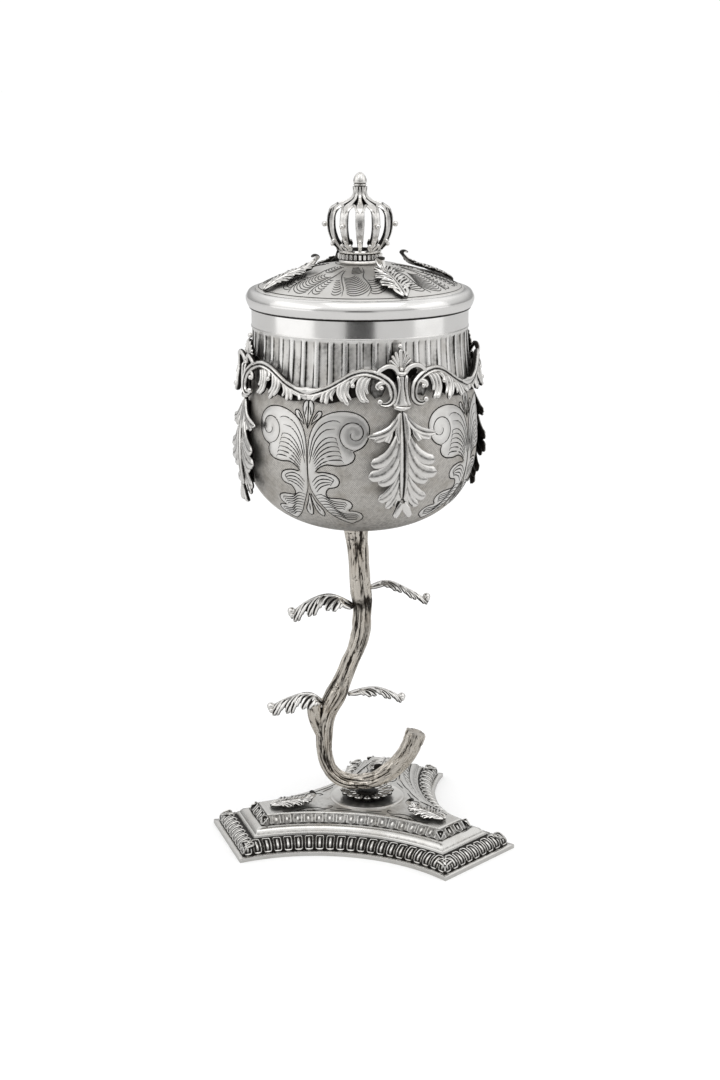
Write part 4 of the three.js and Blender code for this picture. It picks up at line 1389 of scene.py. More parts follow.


# Fronds whose high is 0.3 or less are flat backing plates painted dark: painted shade in the hollows behind
# the scrolls and sprays.
GARLAND_FRONDS = [
    Frond(
        [(38.5, -1.2, 0.5), (31, -0.4, 0.7), (26, 1.8, 0.8), (21.5, 3.6, 0.9), (15, 4.2, 1.0)],
        (1.2, 2.4, 3.4, 4.0, 3.4), 0.7, low=0.0, high=0.08,
    ),
    Frond([(12.6, 4.6, 0.5), (9, 3.6, 0.6), (6.4, 2.6, 0.6)], (2.4, 4.4, 2.6), 0.5, low=0.0, high=0.3),
    Frond([(1.2, 6, 0.6), (4.5, 9.6, 0.7), (8.5, 9.8, 0.7)], (1.0, 2.4, 1.0), 0.6, low=0.0, high=0.06),
    Frond(
        [
            (40.4, 0.2, 1.6), (36, 0.8, 2.0), (31.5, 2.3, 2.2), (28, 4.0, 2.4), (24, 6.5, 2.6),
            (20, 8.8, 2.9), (16, 9.9, 3.3), (12.5, 9.6, 3.8), (8.7, 8.0, 4.4), (5.5, 5.2, 4.8),
            (4.3, 1.8, 5.0), (4.5, -1.5, 4.9), (6.4, -3.4, 4.7), (8.8, -3.2, 4.5), (9.8, -1.9, 4.4),
        ],
        (2.0, 1.4, 1.2, 1.25, 1.35, 1.4, 1.35, 1.2, 1.0), 1.5, groove=0.55, steps=52,
    ),
    Frond([(40.2, 1.5, 1.8), (37, 1.6, 2.2), (33, 2.4, 2.4)], (1.5, 1.0, 0.5), 1.0),
    Frond(
        [(39.8, -1.2, 1.6), (36.6, -0.6, 2.0), (33, 0.4, 2.2), (29, 2.2, 2.2)],
        (1.2, 1.0, 0.8, 0.6), 1.0, groove=0.2,
    ),
    Frond([(33.5, 1.0, 1.6), (35.6, -0.8, 2.2), (36.6, -2.6, 3.0)], (0.6, 0.9, 0.6), 0.8),
    Frond(
        [(27.6, 3.4, 1.6), (31.2, 1.2, 2.3), (32.2, -1.0, 2.6), (32.6, -3.0, 3.2)],
        (0.6, 0.9, 0.9, 0.6), 0.9,
    ),
    Frond(
        [(26.2, 4.2, 1.6), (29.6, 1.4, 2.3), (30.4, -1.2, 2.6), (30.6, -3.6, 3.3)],
        (0.6, 1.0, 1.0, 0.8), 1.0,
    ),
    Frond(
        [(24.8, 5.0, 1.6), (27.8, 2.2, 2.2), (28.6, -0.2, 2.5), (28.0, -2.0, 3.0)],
        (0.6, 0.9, 0.8, 0.5), 0.8,
    ),
    Frond(
        [(22.6, 6.8, 1.8), (25.2, 4.0, 2.5), (25.4, 0.8, 2.9), (23.6, -2.4, 3.5)],
        (0.6, 1.0, 0.9, 0.6), 1.0,
    ),
    Frond(
        [(20.8, 7.8, 1.8), (23.6, 4.8, 2.6), (23.9, 1.0, 3.0), (21.6, -3.8, 3.8)],
        (0.6, 1.1, 1.0, 0.8), 1.1,
    ),
    Frond(
        [(18.6, 8.4, 1.8), (21.6, 5.4, 2.5), (22.2, 1.4, 2.8), (20.4, -1.6, 3.3)],
        (0.6, 1.0, 0.8, 0.5), 0.9,
    ),
    Frond(
        [(16.6, 8.8, 2.0), (18.8, 7.6, 2.8), (20.2, 5.8, 3.3), (19.8, 4.6, 3.6)],
        (0.6, 0.8, 0.8, 0.7), 0.9,
    ),
    Frond(
        [(14.8, 9.0, 2.0), (17.0, 6.6, 2.8), (17.8, 2.6, 3.2), (16.8, -0.8, 3.4), (15.0, -2.5, 3.9)],
        (0.6, 1.0, 1.0, 0.9, 0.8), 1.1,
    ),
    Frond(
        [(13.4, 9.0, 2.0), (15.4, 6.4, 2.8), (16.1, 2.6, 3.2), (15.2, -0.6, 3.4), (13.5, -2.5, 3.9)],
        (0.6, 0.9, 0.9, 0.8, 0.7), 1.0,
    ),
    Frond(
        [(12.2, 8.6, 2.2), (13.8, 6.2, 2.8), (14.6, 3.2, 3.1), (13.8, 0.6, 3.4)],
        (0.6, 0.8, 0.8, 0.6), 0.9,
    ),
    Frond(
        [(5.6, 4.6, 4.0), (7.4, 5.6, 4.4), (9.4, 5.2, 4.6), (10.2, 3.8, 4.6), (9.2, 2.8, 4.6)],
        (0.6, 0.8, 0.9, 0.9, 0.8), 0.9,
    ),
    Frond(
        [(1.0, 8.2, 3.2), (3.0, 11.4, 4.2), (6.0, 12.5, 4.9), (9.0, 11.0, 4.9), (10.6, 8.8, 4.4)],
        (0.8, 0.95, 0.95, 0.9, 0.6), 1.1, groove=0.2,
    ),
    Frond(
        [(3.3, -4.6, 2.6), (2.2, -0.6, 3.6), (1.5, 4.0, 4.2), (1.9, 8.4, 4.4)],
        (0.7, 0.6, 0.6, 0.6), 0.9,
    ),
    Frond(
        [(0, -5.0, 1.8), (0, -1.0, 2.2), (0, 4.0, 2.6), (0, 8.6, 2.8)],
        (3.3, 2.2, 1.5, 1.9), 1.7, low=0.1, high=0.75, both=False,
    ),
    Frond([(-3.5, -4.8, 2.2), (0, -5.6, 3.2), (3.5, -4.8, 2.2)], (0.7, 0.8, 0.7), 0.9, both=False),
    Frond([(-2.4, 9.4, 3.2), (0, 8.8, 4.2), (2.4, 9.4, 3.2)], (0.7, 0.8, 0.7), 0.9, both=False),
    Frond(
        [(0, 10.4, 1.4), (0, 14, 1.8), (0, 19.0, 2.2)],
        (1.0, 3.2, 1.2), 0.7, low=0.0, high=0.2, both=False,
    ),
    Frond([(0, 10.6, 2.0), (0, 14.6, 2.6), (0, 19.4, 3.1)], (0.5, 0.9, 0.7), 0.8, groove=0.3, both=False),
    Frond([(0.3, 11.0, 2.0), (1.3, 14.6, 2.6), (2.1, 18.4, 3.0)], (0.4, 0.75, 0.6), 0.8),
    Frond([(0.4, 11.0, 2.0), (2.2, 13.8, 2.6), (3.7, 16.8, 3.0)], (0.4, 0.75, 0.6), 0.8),
    Frond([(0.6, 11.0, 2.0), (2.8, 12.8, 2.6), (4.8, 14.8, 3.0)], (0.4, 0.8, 0.6), 0.8),
    Frond(
        [(0.8, 10.6, 2.0), (3.0, 11.6, 2.6), (4.6, 12.6, 3.0), (5.0, 13.4, 3.2)],
        (0.5, 0.8, 0.8, 0.6), 0.8,
    ),
]

GARLAND_BALLS = [
    ((9.4, -2.2, 4.9), 1.25),
    ((19.9, 4.4, 3.8), 1.0),
    ((8.6, 3.4, 4.8), 1.05),
    ((5.0, 12.9, 3.4), 0.7),
]
MOUNT_BALLS = [((0, 20.6, 2.6), 1.1), ((0, 10.6, 3.6), 0.95)]

# The first four fronds are flat plates painted dark: painted shade behind and between the drop's lobes.
DROP_FRONDS = [
    Frond(
        [(0, -2, 0.4), (0, -9, 0.5), (0, -13, 0.6)],
        (1.2, 3.2, 2.6), 0.5, low=0.0, high=0.12, both=False,
    ),
    Frond(
        [(0, -10, 0.5), (0, -18, 0.7), (0, -27, 0.7)],
        (1.6, 4.4, 6.2), 0.6, low=0.0, high=0.1, both=False,
    ),
    Frond(
        [(0, -23, 0.5), (0, -31, 0.8), (0, -38, 1.4)],
        (2.6, 4.4, 3.4), 0.6, low=0.0, high=0.1, both=False,
    ),
    Frond([(3.0, -6.6, 1.7), (3.2, -9.8, 1.9), (2.9, -12.4, 1.7)], (0.6, 1.3, 0.5), 0.5, low=0.0, high=0.0),
    Frond(
        [(0, -0.2, 1.8), (0, -8, 2.6), (0, -15, 3.3), (0, -26, 3.6), (0, -37, 4.4)],
        (0.9, 1.2, 1.5, 1.5, 1.0), 1.5, groove=0.6, both=False, steps=36,
    ),
    Frond(
        [(0.7, -1, 1.8), (1.9, -6, 2.3), (2.2, -10.5, 2.6), (1.6, -14.5, 2.9)],
        (0.5, 0.8, 0.9, 0.7), 0.9,
    ),
    Frond(
        [(0.9, -1.6, 1.8), (2.6, -5.0, 2.4), (5.4, -8.4, 2.8), (9.6, -10.4, 3.0), (14, -11.0, 3.6)],
        (0.7, 1.1, 1.4, 1.4, 0.9), 1.0, groove=0.45,
    ),
    Frond(
        [(4.0, -6.8, 2.0), (6.0, -9.6, 2.6), (8.4, -11.6, 3.0), (11.6, -12.8, 3.6)],
        (0.6, 1.1, 1.3, 0.9), 0.95, groove=0.4,
    ),
    Frond([(4.2, -8.0, 2.0), (5.6, -11.0, 2.6), (7.0, -13.8, 3.2)], (0.6, 1.1, 1.0), 0.9),
    Frond(
        [(1.4, -8.6, 2.0), (3.4, -14.6, 2.7), (5.8, -18.8, 3.1), (9.4, -21.4, 3.6), (13.0, -21.8, 4.3)],
        (0.6, 1.3, 1.9, 2.2, 1.7), 1.1, groove=0.42, steps=26,
    ),
    Frond(
        [(1.1, -11.5, 2.2), (2.8, -19.0, 3.0), (5.2, -23.6, 3.3), (9.2, -26.4, 3.8), (13.9, -26.9, 4.6)],
        (0.6, 1.3, 2.0, 2.3, 1.8), 1.15, groove=0.42, steps=26,
    ),
    Frond(
        [(0.8, -14.5, 2.4), (1.9, -21.6, 3.0), (4.0, -26.4, 3.3), (6.8, -29.0, 3.7), (10.2, -29.6, 4.2)],
        (0.6, 1.1, 1.7, 2.0, 1.5), 1.05, groove=0.42, steps=26,
    ),
    Frond(
        [(0.9, -22.5, 2.2), (2.2, -29.0, 2.9), (4.4, -33.2, 3.4), (7.2, -35.6, 4.1), (10.0, -36.2, 4.9)],
        (0.5, 1.1, 1.6, 1.8, 1.4), 1.0, groove=0.4, steps=24,
    ),
    Frond(
        [(0.7, -24.5, 2.2), (1.6, -31.4, 3.0), (3.2, -35.8, 3.7), (5.0, -38.2, 4.6), (7.0, -39.2, 5.4)],
        (0.5, 1.0, 1.4, 1.5, 1.2), 1.0, groove=0.4, steps=24,
    ),
    Frond(
        [(0.4, -27, 2.4), (0.8, -33.4, 3.2), (1.6, -37.4, 4.2), (2.6, -39.6, 5.0)],
        (0.4, 0.8, 1.0, 0.8), 0.9, groove=0.3,
    ),
    Frond([(0, -37.6, 5.4), (1.6, -39.8, 6.4), (3.4, -42.2, 7.6)], (1.1, 1.3, 0.9), 1.1),
]


@dataclass(frozen=True)
class TongueRow:
    """A row of rounded tongues round the foot.

    A tongue lies along a slope of (distance inwards, height), and half of its raised lens's
    length is a share of its own.
    """

    inset: float
    spacing: float
    slope: Sequence[Point]
    half_width: float
    height: float
    lens_share: float


FOOT_ROWS = [
    TongueRow(
        1.9, 4.45, [(0.1, 2.1), (0.25, 3.6), (0.9, 4.9), (2.6, 6.0), (5.6, 6.7)], 2.06, 0.55, 0.34
    ),
    TongueRow(12.4, 4.5, [(0.2, 10.6), (1.2, 11.8), (2.4, 13.1), (3.3, 14.1)], 2.12, 0.35, 0.22),
]
# The foot's steps, as distance in from its outline, height and wear
FOOT_STEPS = [
    (0.0, 0.0, 0.7), (0.0, 1.7, 1.0), (0.25, 1.9, 1.0), (1.7, 1.9, 0.5), (1.95, 1.9, 0.0),
    (2.1, 3.2, 0.0), (2.5, 4.5, 0.05), (3.4, 5.5, 0.1), (5.0, 6.3, 0.1), (7.0, 6.7, 0.05),
    (8.0, 6.75, 0.0), (8.15, 7.0, 0.5), (8.2, 7.4, 1.0), (8.35, 8.0, 1.0), (8.6, 8.2, 1.0),
    (9.0, 8.2, 0.8), (9.1, 8.3, 0.4), (9.5, 9.1, 0.75), (10.2, 9.9, 0.8), (11.1, 10.35, 0.75),
    (11.7, 10.5, 0.9), (12.1, 10.5, 1.0), (12.3, 10.5, 0.2), (12.5, 10.5, 0.0),
    (12.9, 11.0, 0.3), (14.0, 12.2, 0.32), (15.2, 13.6, 0.3), (15.7, 14.1, 0.3),
    (15.9, 14.4, 1.0), (16.2, 14.5, 1.0), (16.8, 14.45, 0.8),
]
# The round seat under the branch, as radius and height
FOOT_SEAT = [
    (17.3, 14.3), (17.3, 14.75), (16.9, 15.0), (16.2, 15.0), (15.8, 14.8), (14.5, 14.75),
    (8.0, 14.75),
]
ROSETTE_CORE = [
    (4.2, 15.3), (9.5, 15.3), (9.8, 15.9), (7.5, 16.2), (4.4, 16.4), (4.2, 17.2), (2.0, 17.25),
]

# The crown's ring as radius, height over its base and wear
CROWN_RING = [
    (7.1, 0, 0.4), (8.8, 0, 0.9), (9.2, 0.6, 1), (8.9, 1.2, 0.5), (8.3, 1.3, 0.0),
    (8.3, 4.2, 0.0), (8.9, 4.3, 0.6), (9.3, 4.9, 1), (8.9, 5.5, 0.9), (7.1, 5.5, 0.2),
]
# An arch as shares of the crown's swell and of its rise over the ring
CROWN_ARCH = [
    (0.6, 0.045), (0.72, 0.09), (0.87, 0.17), (0.97, 0.27), (1.0, 0.39), (0.96, 0.5),
    (0.8, 0.58), (0.52, 0.625), (0.3, 0.665), (0.19, 0.72), (0.165, 0.82),
]
# A link between two arches as a turn from the middle, and the same two shares
CROWN_LINK = [
    (-0.26, 0.97, 0.47), (-0.15, 0.93, 0.55), (0, 0.72, 0.605), (0.15, 0.93, 0.55),
    (0.26, 0.97, 0.47),
]
# The neck as radius, share of the rise and mark; the mark is dark nearly all over, painted shade inside the
# arches
CROWN_NECK = [
    (5.5, 0.585, 0.0), (6.6, 0.59, 0.0), (3.2, 0.645, 0.0), (2.0, 0.7, 0.0), (1.9, 0.8, 0.1),
    (2.4, 0.825, 0.6),
]
# The bud as radius and share of the rise, with the wear of its lowest rings
CROWN_BUD = [
    (2.2, 0.822), (2.75, 0.835), (2.75, 0.85), (2.45, 0.857), (2.9, 0.868), (3.0, 0.885),
    (2.85, 0.91), (2.35, 0.945), (1.5, 0.975), (0.5, 0.995),
]
BUD_COLLAR_WEAR = [[0.8], [1.0], [0.6], [0.1]]

# The branch's route as shares of its height, with its thickness as a share
BRANCH_ROUTE = [
    (0.204, 0.222, 1.12), (0.19, 0.18, 1.06), (0.162, 0.127, 1.0), (0.114, 0.076, 0.95),
    (0.061, 0.042, 0.9), (0.003, 0.03, 0.85), (-0.055, 0.036, 0.82), (-0.101, 0.068, 0.8),
    (-0.127, 0.125, 0.83), (-0.132, 0.203, 0.91), (-0.129, 0.26, 0.94), (-0.113, 0.316, 1.0),
    (-0.08, 0.38, 1.05), (-0.057, 0.434, 0.92), (-0.033, 0.495, 0.91), (-0.009, 0.555, 0.97),
    (0.004, 0.614, 1.0), (0.009, 0.697, 0.96), (0.003, 0.757, 1.12), (-0.004, 0.845, 1.04),
    (-0.01, 0.934, 1.13), (-0.016, 1.0, 1.34),
]


@dataclass(frozen=True)
class BranchLeaf:
    """A free leaf's place and shape.

    Its root is shares of the branch's height out and up, its reach is a share of the longest
    leaf's length, and its midrib is shares of its own length out and up.
    """

    name: str
    root: tuple[float, float]
    heading_deg: float
    reach: float
    droop: float
    rib: Sequence[Point]


BRANCH_LEAVES = [
    BranchLeaf(
        "upper_left", (-0.024, 0.702), 196, 0.97, 1.05,
        [(0, 0), (0.36, 0.16), (0.66, 0.1), (0.9, -0.04), (0.98, -0.05), (0.96, 0.03)],
    ),
    BranchLeaf(
        "upper_right", (0.03, 0.765), 14, 0.92, 0.4,
        [(0, 0), (0.3, 0.06), (0.63, -0.1), (0.9, -0.26), (0.98, -0.25), (0.96, -0.16)],
    ),
    BranchLeaf(
        "lower_left", (-0.127, 0.327), 192, 0.84, 1.0,
        [(0, 0), (0.28, 0.19), (0.62, 0.13), (0.9, 0.02), (0.98, 0.0), (0.97, 0.08)],
    ),
    BranchLeaf(
        "lower_right", (-0.043, 0.366), 10, 0.84, 0.4,
        [(0, 0), (0.3, 0.05), (0.52, 0.04), (0.76, -0.05), (0.94, -0.15), (0.98, -0.06)],
    ),
]
# A leaf's lobes as the shares of its length where each starts and ends, and its reach
LEAF_LOBES = [
    (0.13, 0.27, 0.7), (0.15, 0.35, 1.0), (0.18, 0.43, 0.94), (0.36, 0.52, 0.66), (0.38, 0.6, 0.96),
    (0.41, 0.67, 0.86), (0.58, 0.76, 0.46), (0.6, 0.83, 0.66), (0.63, 0.89, 0.56),
]
# One lobe as shares of its length and reach, with its height over the blade
LOBE_ROUTE = [(0, 0.05, 0.5), (0.45, 0.3, 1.0), (0.8, 0.7, 1.0), (1, 1, 0.5)]
LEAF_OUTLINE = [
    (0.0, 0.2), (0.12, 0.16), (0.24, 0.56), (0.34, 0.9), (0.42, 0.84), (0.47, 0.3), (0.54, 0.7),
    (0.6, 0.86), (0.67, 0.7), (0.71, 0.26), (0.78, 0.5), (0.84, 0.56), (0.92, 0.3), (1.0, 0.22),
]


# The goblet's sub-assemblies


class Workshop:
    """Holds what the sub-assemblies share: their forms, the finishes and the tree for rows."""

    def __init__(self) -> None:
        """Makes the finishes and the tree."""
        self.bowl = BowlForm()
        self.lid = LidForm()
        self.foot = FootForm()
        self.branch = BranchForm()
        self.row = CastingRow()
        finishes = Finishes(self.bowl)
        self.polished = finishes.make(POLISHED)
        self.chased = finishes.make(CHASED)
        self.bowl_silver = finishes.make(BOWL_GROUND)
        self.lid_silver = finishes.make(LID_GROUND)
        self.foot_silver = finishes.make(FOOT_SILVER)
        self.bark = finishes.make(BARK)

    def deliver(
        self,
        casting: Casting,
        name: str,
        node: str,
        finishes: Sequence[Material],
        slot: str = "oxidised_silver",
    ) -> None:
        """Builds a casting, which rides with the body and stands for a node.

        Args:
            casting: What is built.
            name: The piece's name.
            node: The CAD node that it stands for.
            finishes: Its materials.
            slot: Not used.
        """
        piece = casting.build(name, finishes)
        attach(piece, ROOT)
        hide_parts(node)


@dataclass
class Bowl:
    """The bowl: an engraved belly, a fluted band, a plain rim band and a plain inside."""

    shop: Workshop
    flute_columns: int = 10
    rim_rings: int = 7
    leaf_rise: float = 0.3
    line_half_width: float = 0.24

    def make(self) -> None:
        """Makes the bowl and engraves it."""
        form = self.shop.bowl
        heights = self._heights()
        columns = self.flute_columns * form.flutes
        angle = np.arange(columns) * TURN / columns
        outside, wear, ground = self._outside(heights, angle)
        inside = self._inside(angle)
        plain = np.ones(inside.shape[:2])
        points = np.concatenate([outside, inside])
        slot = np.zeros(len(points) - 1, int)
        slot[len(heights) - self.rim_rings :] = 1
        casting = Casting()
        casting.skin(
            points, np.concatenate([wear, 0.85 * plain]), np.concatenate([ground, 0 * plain]), slot
        )
        engraver = Engraver(casting, self.line_half_width)
        for heading in headings(form.mounts, form.motif_heading):
            engraver.engrave(BowlChart(form, heading, 0), BOWL_MOTIF)
        self.shop.deliver(
            casting, "bowl_shell", "bowl", [self.shop.bowl_silver, self.shop.polished]
        )

    def _heights(self) -> Array:
        """Spaces the rings of the outside from the lowest point to the rim."""
        form = self.shop.bowl
        swing = np.radians(np.linspace(89.2, 0, 84, endpoint=False))
        step = form.flute_top
        return np.concatenate(
            [
                form.belly - (form.belly - form.base) * np.sin(swing) ** (2 / form.squareness),
                np.linspace(form.belly, form.flute_foot, 24, endpoint=False),
                np.linspace(form.flute_foot, step, 22),
                [step + 0.05, step + 0.35, step + 0.75, step + 1.1],
                np.linspace(step + 1.2, form.top - 0.6, 4),
                [form.top - 0.2, form.top],
            ]
        )

    def _garland_line(self, offset: Array) -> Array:
        """Gives the height of the garland's upper edge at a distance round from a mount."""
        distances = (0, 14.7, 20, 24, 28, 33, 39.3)
        heights = (221, 221, 220, 217.2, 214.6, 212.7, 211.5)
        return np.interp(offset, distances, heights)

    def _outside(self, heights: Array, angle: Array) -> tuple[Array, Array, Array]:
        """Lays out the outside with its flutes and polished leaves.

        Args:
            heights: Height of each ring.
            angle: Angle of each column.

        Returns:
            Positions, wear with painted shade in the flutes, round the leaves' lines and under the
            garlands, and ground, shaped rings by columns.
        """
        form = self.shop.bowl
        z = heights[:, None] + 0 * angle[None, :]
        from_mount = from_nearest(angle, form.mounts, form.mount_heading)
        line = self._garland_line(np.abs(from_mount) * form.chart_radius)[None, :]
        radius = form.radius(z)
        wear = np.full(z.shape, 0.9)
        ground = np.zeros(z.shape)

        phase = np.abs((angle / (TURN / form.flutes)) % 1 - 0.5)[None, :]
        channel = 1 - ease(0.24, 0.36, phase)
        flank = np.exp(-(((phase - 0.3) / 0.06) ** 2))
        zone = ease(0, 1.2, z - line) * ease(0, 0.5, form.flute_top - z)
        radius -= zone * form.flute_depth * (0.2 + 0.8 * channel)
        rough = streaks(len(heights), len(angle), 6, 3, 5)
        # The flutes' flanks are darkened as painted shade in the creases, the ridges lighter as rubbed
        # edges, with random streaks.
        fluted_wear_and_shade = 0.62 + 0.25 * rough - 0.75 * flank + 0.4 * (1 - channel)
        wear = np.where(z < form.flute_top, wear + zone * (fluted_wear_and_shade - wear), wear)
        ground = np.where(z < form.flute_top, zone * 0.35 * channel, ground)

        below = z < line + 0.6
        ground = np.where(below, 1.0, ground)
        wear = np.where(below, 0.62, wear)
        from_motif = from_nearest(angle, form.mounts, form.motif_heading)
        u = from_motif[None, :] * form.chart_radius + 0 * z
        leaf, between = BOWL_MOTIF.leaf_marks(u, z)
        radius += self.leaf_rise * leaf * between
        ground -= 0.85 * leaf * ground
        # On the polished leaves the mark dips towards each cut line: painted shade that rounds the lobes
        # between the lines.
        wear += leaf * (0.55 + 0.45 * between - wear)
        # Painted shadow on the matted ground just under the garlands, fainter on the polished leaves.
        shade = ease(5, 0, line - 2 - z) * below
        wear -= 0.3 * (1 - 0.8 * leaf) * shade
        # The belly darkens towards its bottom.
        wear -= 0.22 * ease(160, 147, z)
        radius += np.where(np.abs(z - form.flute_top - 0.5) < 0.35, 0.25, 0)
        x = form.axis_x + radius * np.cos(angle)
        return np.stack([x, radius * np.sin(angle), z], axis=-1), wear, ground

    def _inside(self, angle: Array) -> Array:
        """Lays out the plain inside from the rim down to the bottom."""
        form = self.shop.bowl
        levels = [form.top, form.top - 0.4, form.flute_top, 222, form.flute_foot, 196]
        levels += [form.belly, 172, 160, 152, 147.5]
        rings = []
        for height in levels:
            if height >= form.flute_top:
                wide = form.rim_radius - form.wall
            else:
                depth = max(form.belly - height, 0) / (form.belly - form.base - form.wall)
                wide = float(form.radius(max(height, form.belly))) - form.wall - form.flute_depth
                wide *= (1 - min(depth, 0.9985) ** form.squareness) ** (1 / form.squareness)
            rings.append((wide, height))
        rings.append((8, form.base + form.wall + 0.2))
        return turned(rings, form.axis_x, angle)


@dataclass
class Mounts:
    """The four garlands with their scrolls, and the leaf drop under each."""

    shop: Workshop
    garland_level: float = 211.1
    drop_top: float = 205.6
    garland_fullness: float = 1.22
    drop_fullness: float = 1.2

    def make(self) -> None:
        """Makes the garlands and the drops."""
        bowl = self.shop.bowl
        for number, heading in enumerate(headings(bowl.mounts, bowl.mount_heading), start=1):
            chart = BowlChart(bowl, heading, self.garland_level)
            garland = self._cast_fronds(chart, GARLAND_FRONDS, self.garland_fullness)
            for centre, radius in GARLAND_BALLS:
                for side in (1, -1):
                    garland.ball(chart, mirrored([centre], side)[0], radius)
            for centre, radius in MOUNT_BALLS:
                garland.ball(chart, centre, radius)
            name = f"garland_{number}"
            self.shop.deliver(garland, f"{name}_cast", name, [self.shop.chased])
            chart = BowlChart(bowl, heading, self.drop_top)
            drop = self._cast_fronds(chart, DROP_FRONDS, self.drop_fullness)
            name = f"leaf_drop_{number}"
            self.shop.deliver(drop, f"{name}_cast", name, [self.shop.chased])

    def _cast_fronds(self, chart: Chart, fronds: Sequence[Frond], fullness: float) -> Casting:
        """Casts fronds, and the mirror images of those that have one.

        Args:
            chart: Where they lie.
            fronds: The fronds as drawn.
            fullness: How much wider than drawn they are.

        Returns:
            The casting.
        """
        casting = Casting()
        for frond in fronds:
            for side in (1, -1) if frond.both else (1,):
                casting.sweep(
                    chart,
                    mirrored(frond.knots, side),
                    [fullness * half for half in frond.width],
                    frond.height,
                    groove=frond.groove,
                    steps=frond.steps,
                    low=frond.low,
                    high=frond.high,
                )
        return casting


@dataclass
class Lid:
    """The lid: a rolled rim, an engraved dome and the collar under it."""

    shop: Workshop
    columns: int = 360
    line_half_width: float = 0.17
    ring_radii: tuple[float, float] = (44.2, 10.6)

    def make(self) -> None:
        """Makes the lid and engraves it."""
        form = self.shop.lid
        axis_x = self.shop.bowl.axis_x
        motif_heading = form.leaf_heading + TURN / form.leaves / 2
        under, roll, dome = self._profile()
        profile = np.vstack([under, roll, dome])
        angle = np.arange(self.columns) * TURN / self.columns
        radius = profile[:, :1] + 0 * angle
        points = turned(profile, axis_x, angle)
        dome_start = len(profile) - len(dome)
        roll_start = dome_start - len(roll)
        slots = np.ones(len(profile) - 1, int)
        slots[dome_start:] = 0
        wear = np.full(radius.shape, 0.95)
        # A dark ring where the lid's rim meets the bowl: painted shadow in the gap between them.
        wear[roll_start - 2 : roll_start + 2] = 0.0
        # A dimmer ring where the roll meets the dome: painted shade in that crease.
        wear[dome_start - 1] = 0.3
        from_motif = from_nearest(angle, form.leaves, motif_heading)
        between = LID_MOTIF.leaf_marks(from_motif[None, :] * radius, radius)[1]
        ground = np.zeros(radius.shape)
        ground[dome_start:] = 0.3
        # The dome dips dark towards each cut line: painted shade that rounds the surface between the lines.
        wear[dome_start:] = 0.5 + 0.45 * between[dome_start:]
        # Darker towards the crown's foot: painted shadow under the crown's arches.
        wear[dome_start:] -= 0.2 * ease(16, 9, radius[dome_start:])
        casting = Casting()
        casting.skin(points, wear, ground, slots)
        engraver = Engraver(casting, self.line_half_width)
        for heading in headings(form.leaves, motif_heading):
            engraver.engrave(LidChart(form, axis_x, heading), LID_MOTIF)
        whole = LidChart(form, axis_x, 0)
        for ring_radius in self.ring_radii:
            ring = [(math.radians(turn) * ring_radius, ring_radius) for turn in range(0, 361, 6)]
            engraver.cut(whole, np.array(ring, float), steps=160)
        finishes = [self.shop.lid_silver, self.shop.polished]
        self.shop.deliver(casting, "lid_shell", "lid", finishes, "polished_silver")

    def _profile(self) -> tuple[Array, Array, Array]:
        """Draws the underside with the collar, the rolled rim and the dome as (radius, height)."""
        form = self.shop.lid
        inside = form.collar_radius - form.wall
        under_radii = np.linspace(2.0, inside, 14)
        under = np.stack([under_radii, form.height(under_radii) - form.wall], axis=1)
        collar = [
            (inside, form.base - form.collar_depth),
            (form.collar_radius, form.base - form.collar_depth),
            (form.collar_radius, form.base),
        ]
        roll = smooth_path(
            [
                (form.radius - 1.5, form.base),
                (form.radius - 0.3, form.base + 2.6),
                (form.radius, form.base + 4.8),
                (form.radius - 1.4, form.base + 7.4),
                (form.dome_radius + 0.9, form.shoulder + 0.1),
                (form.dome_radius + 0.1, form.shoulder - 0.15),
            ],
            20,
        )
        dome_radii = np.linspace(form.dome_radius - 0.3, 2.0, 60)
        dome = np.stack([dome_radii, form.height(dome_radii)], axis=1)
        return np.vstack([under, collar]), roll, dome


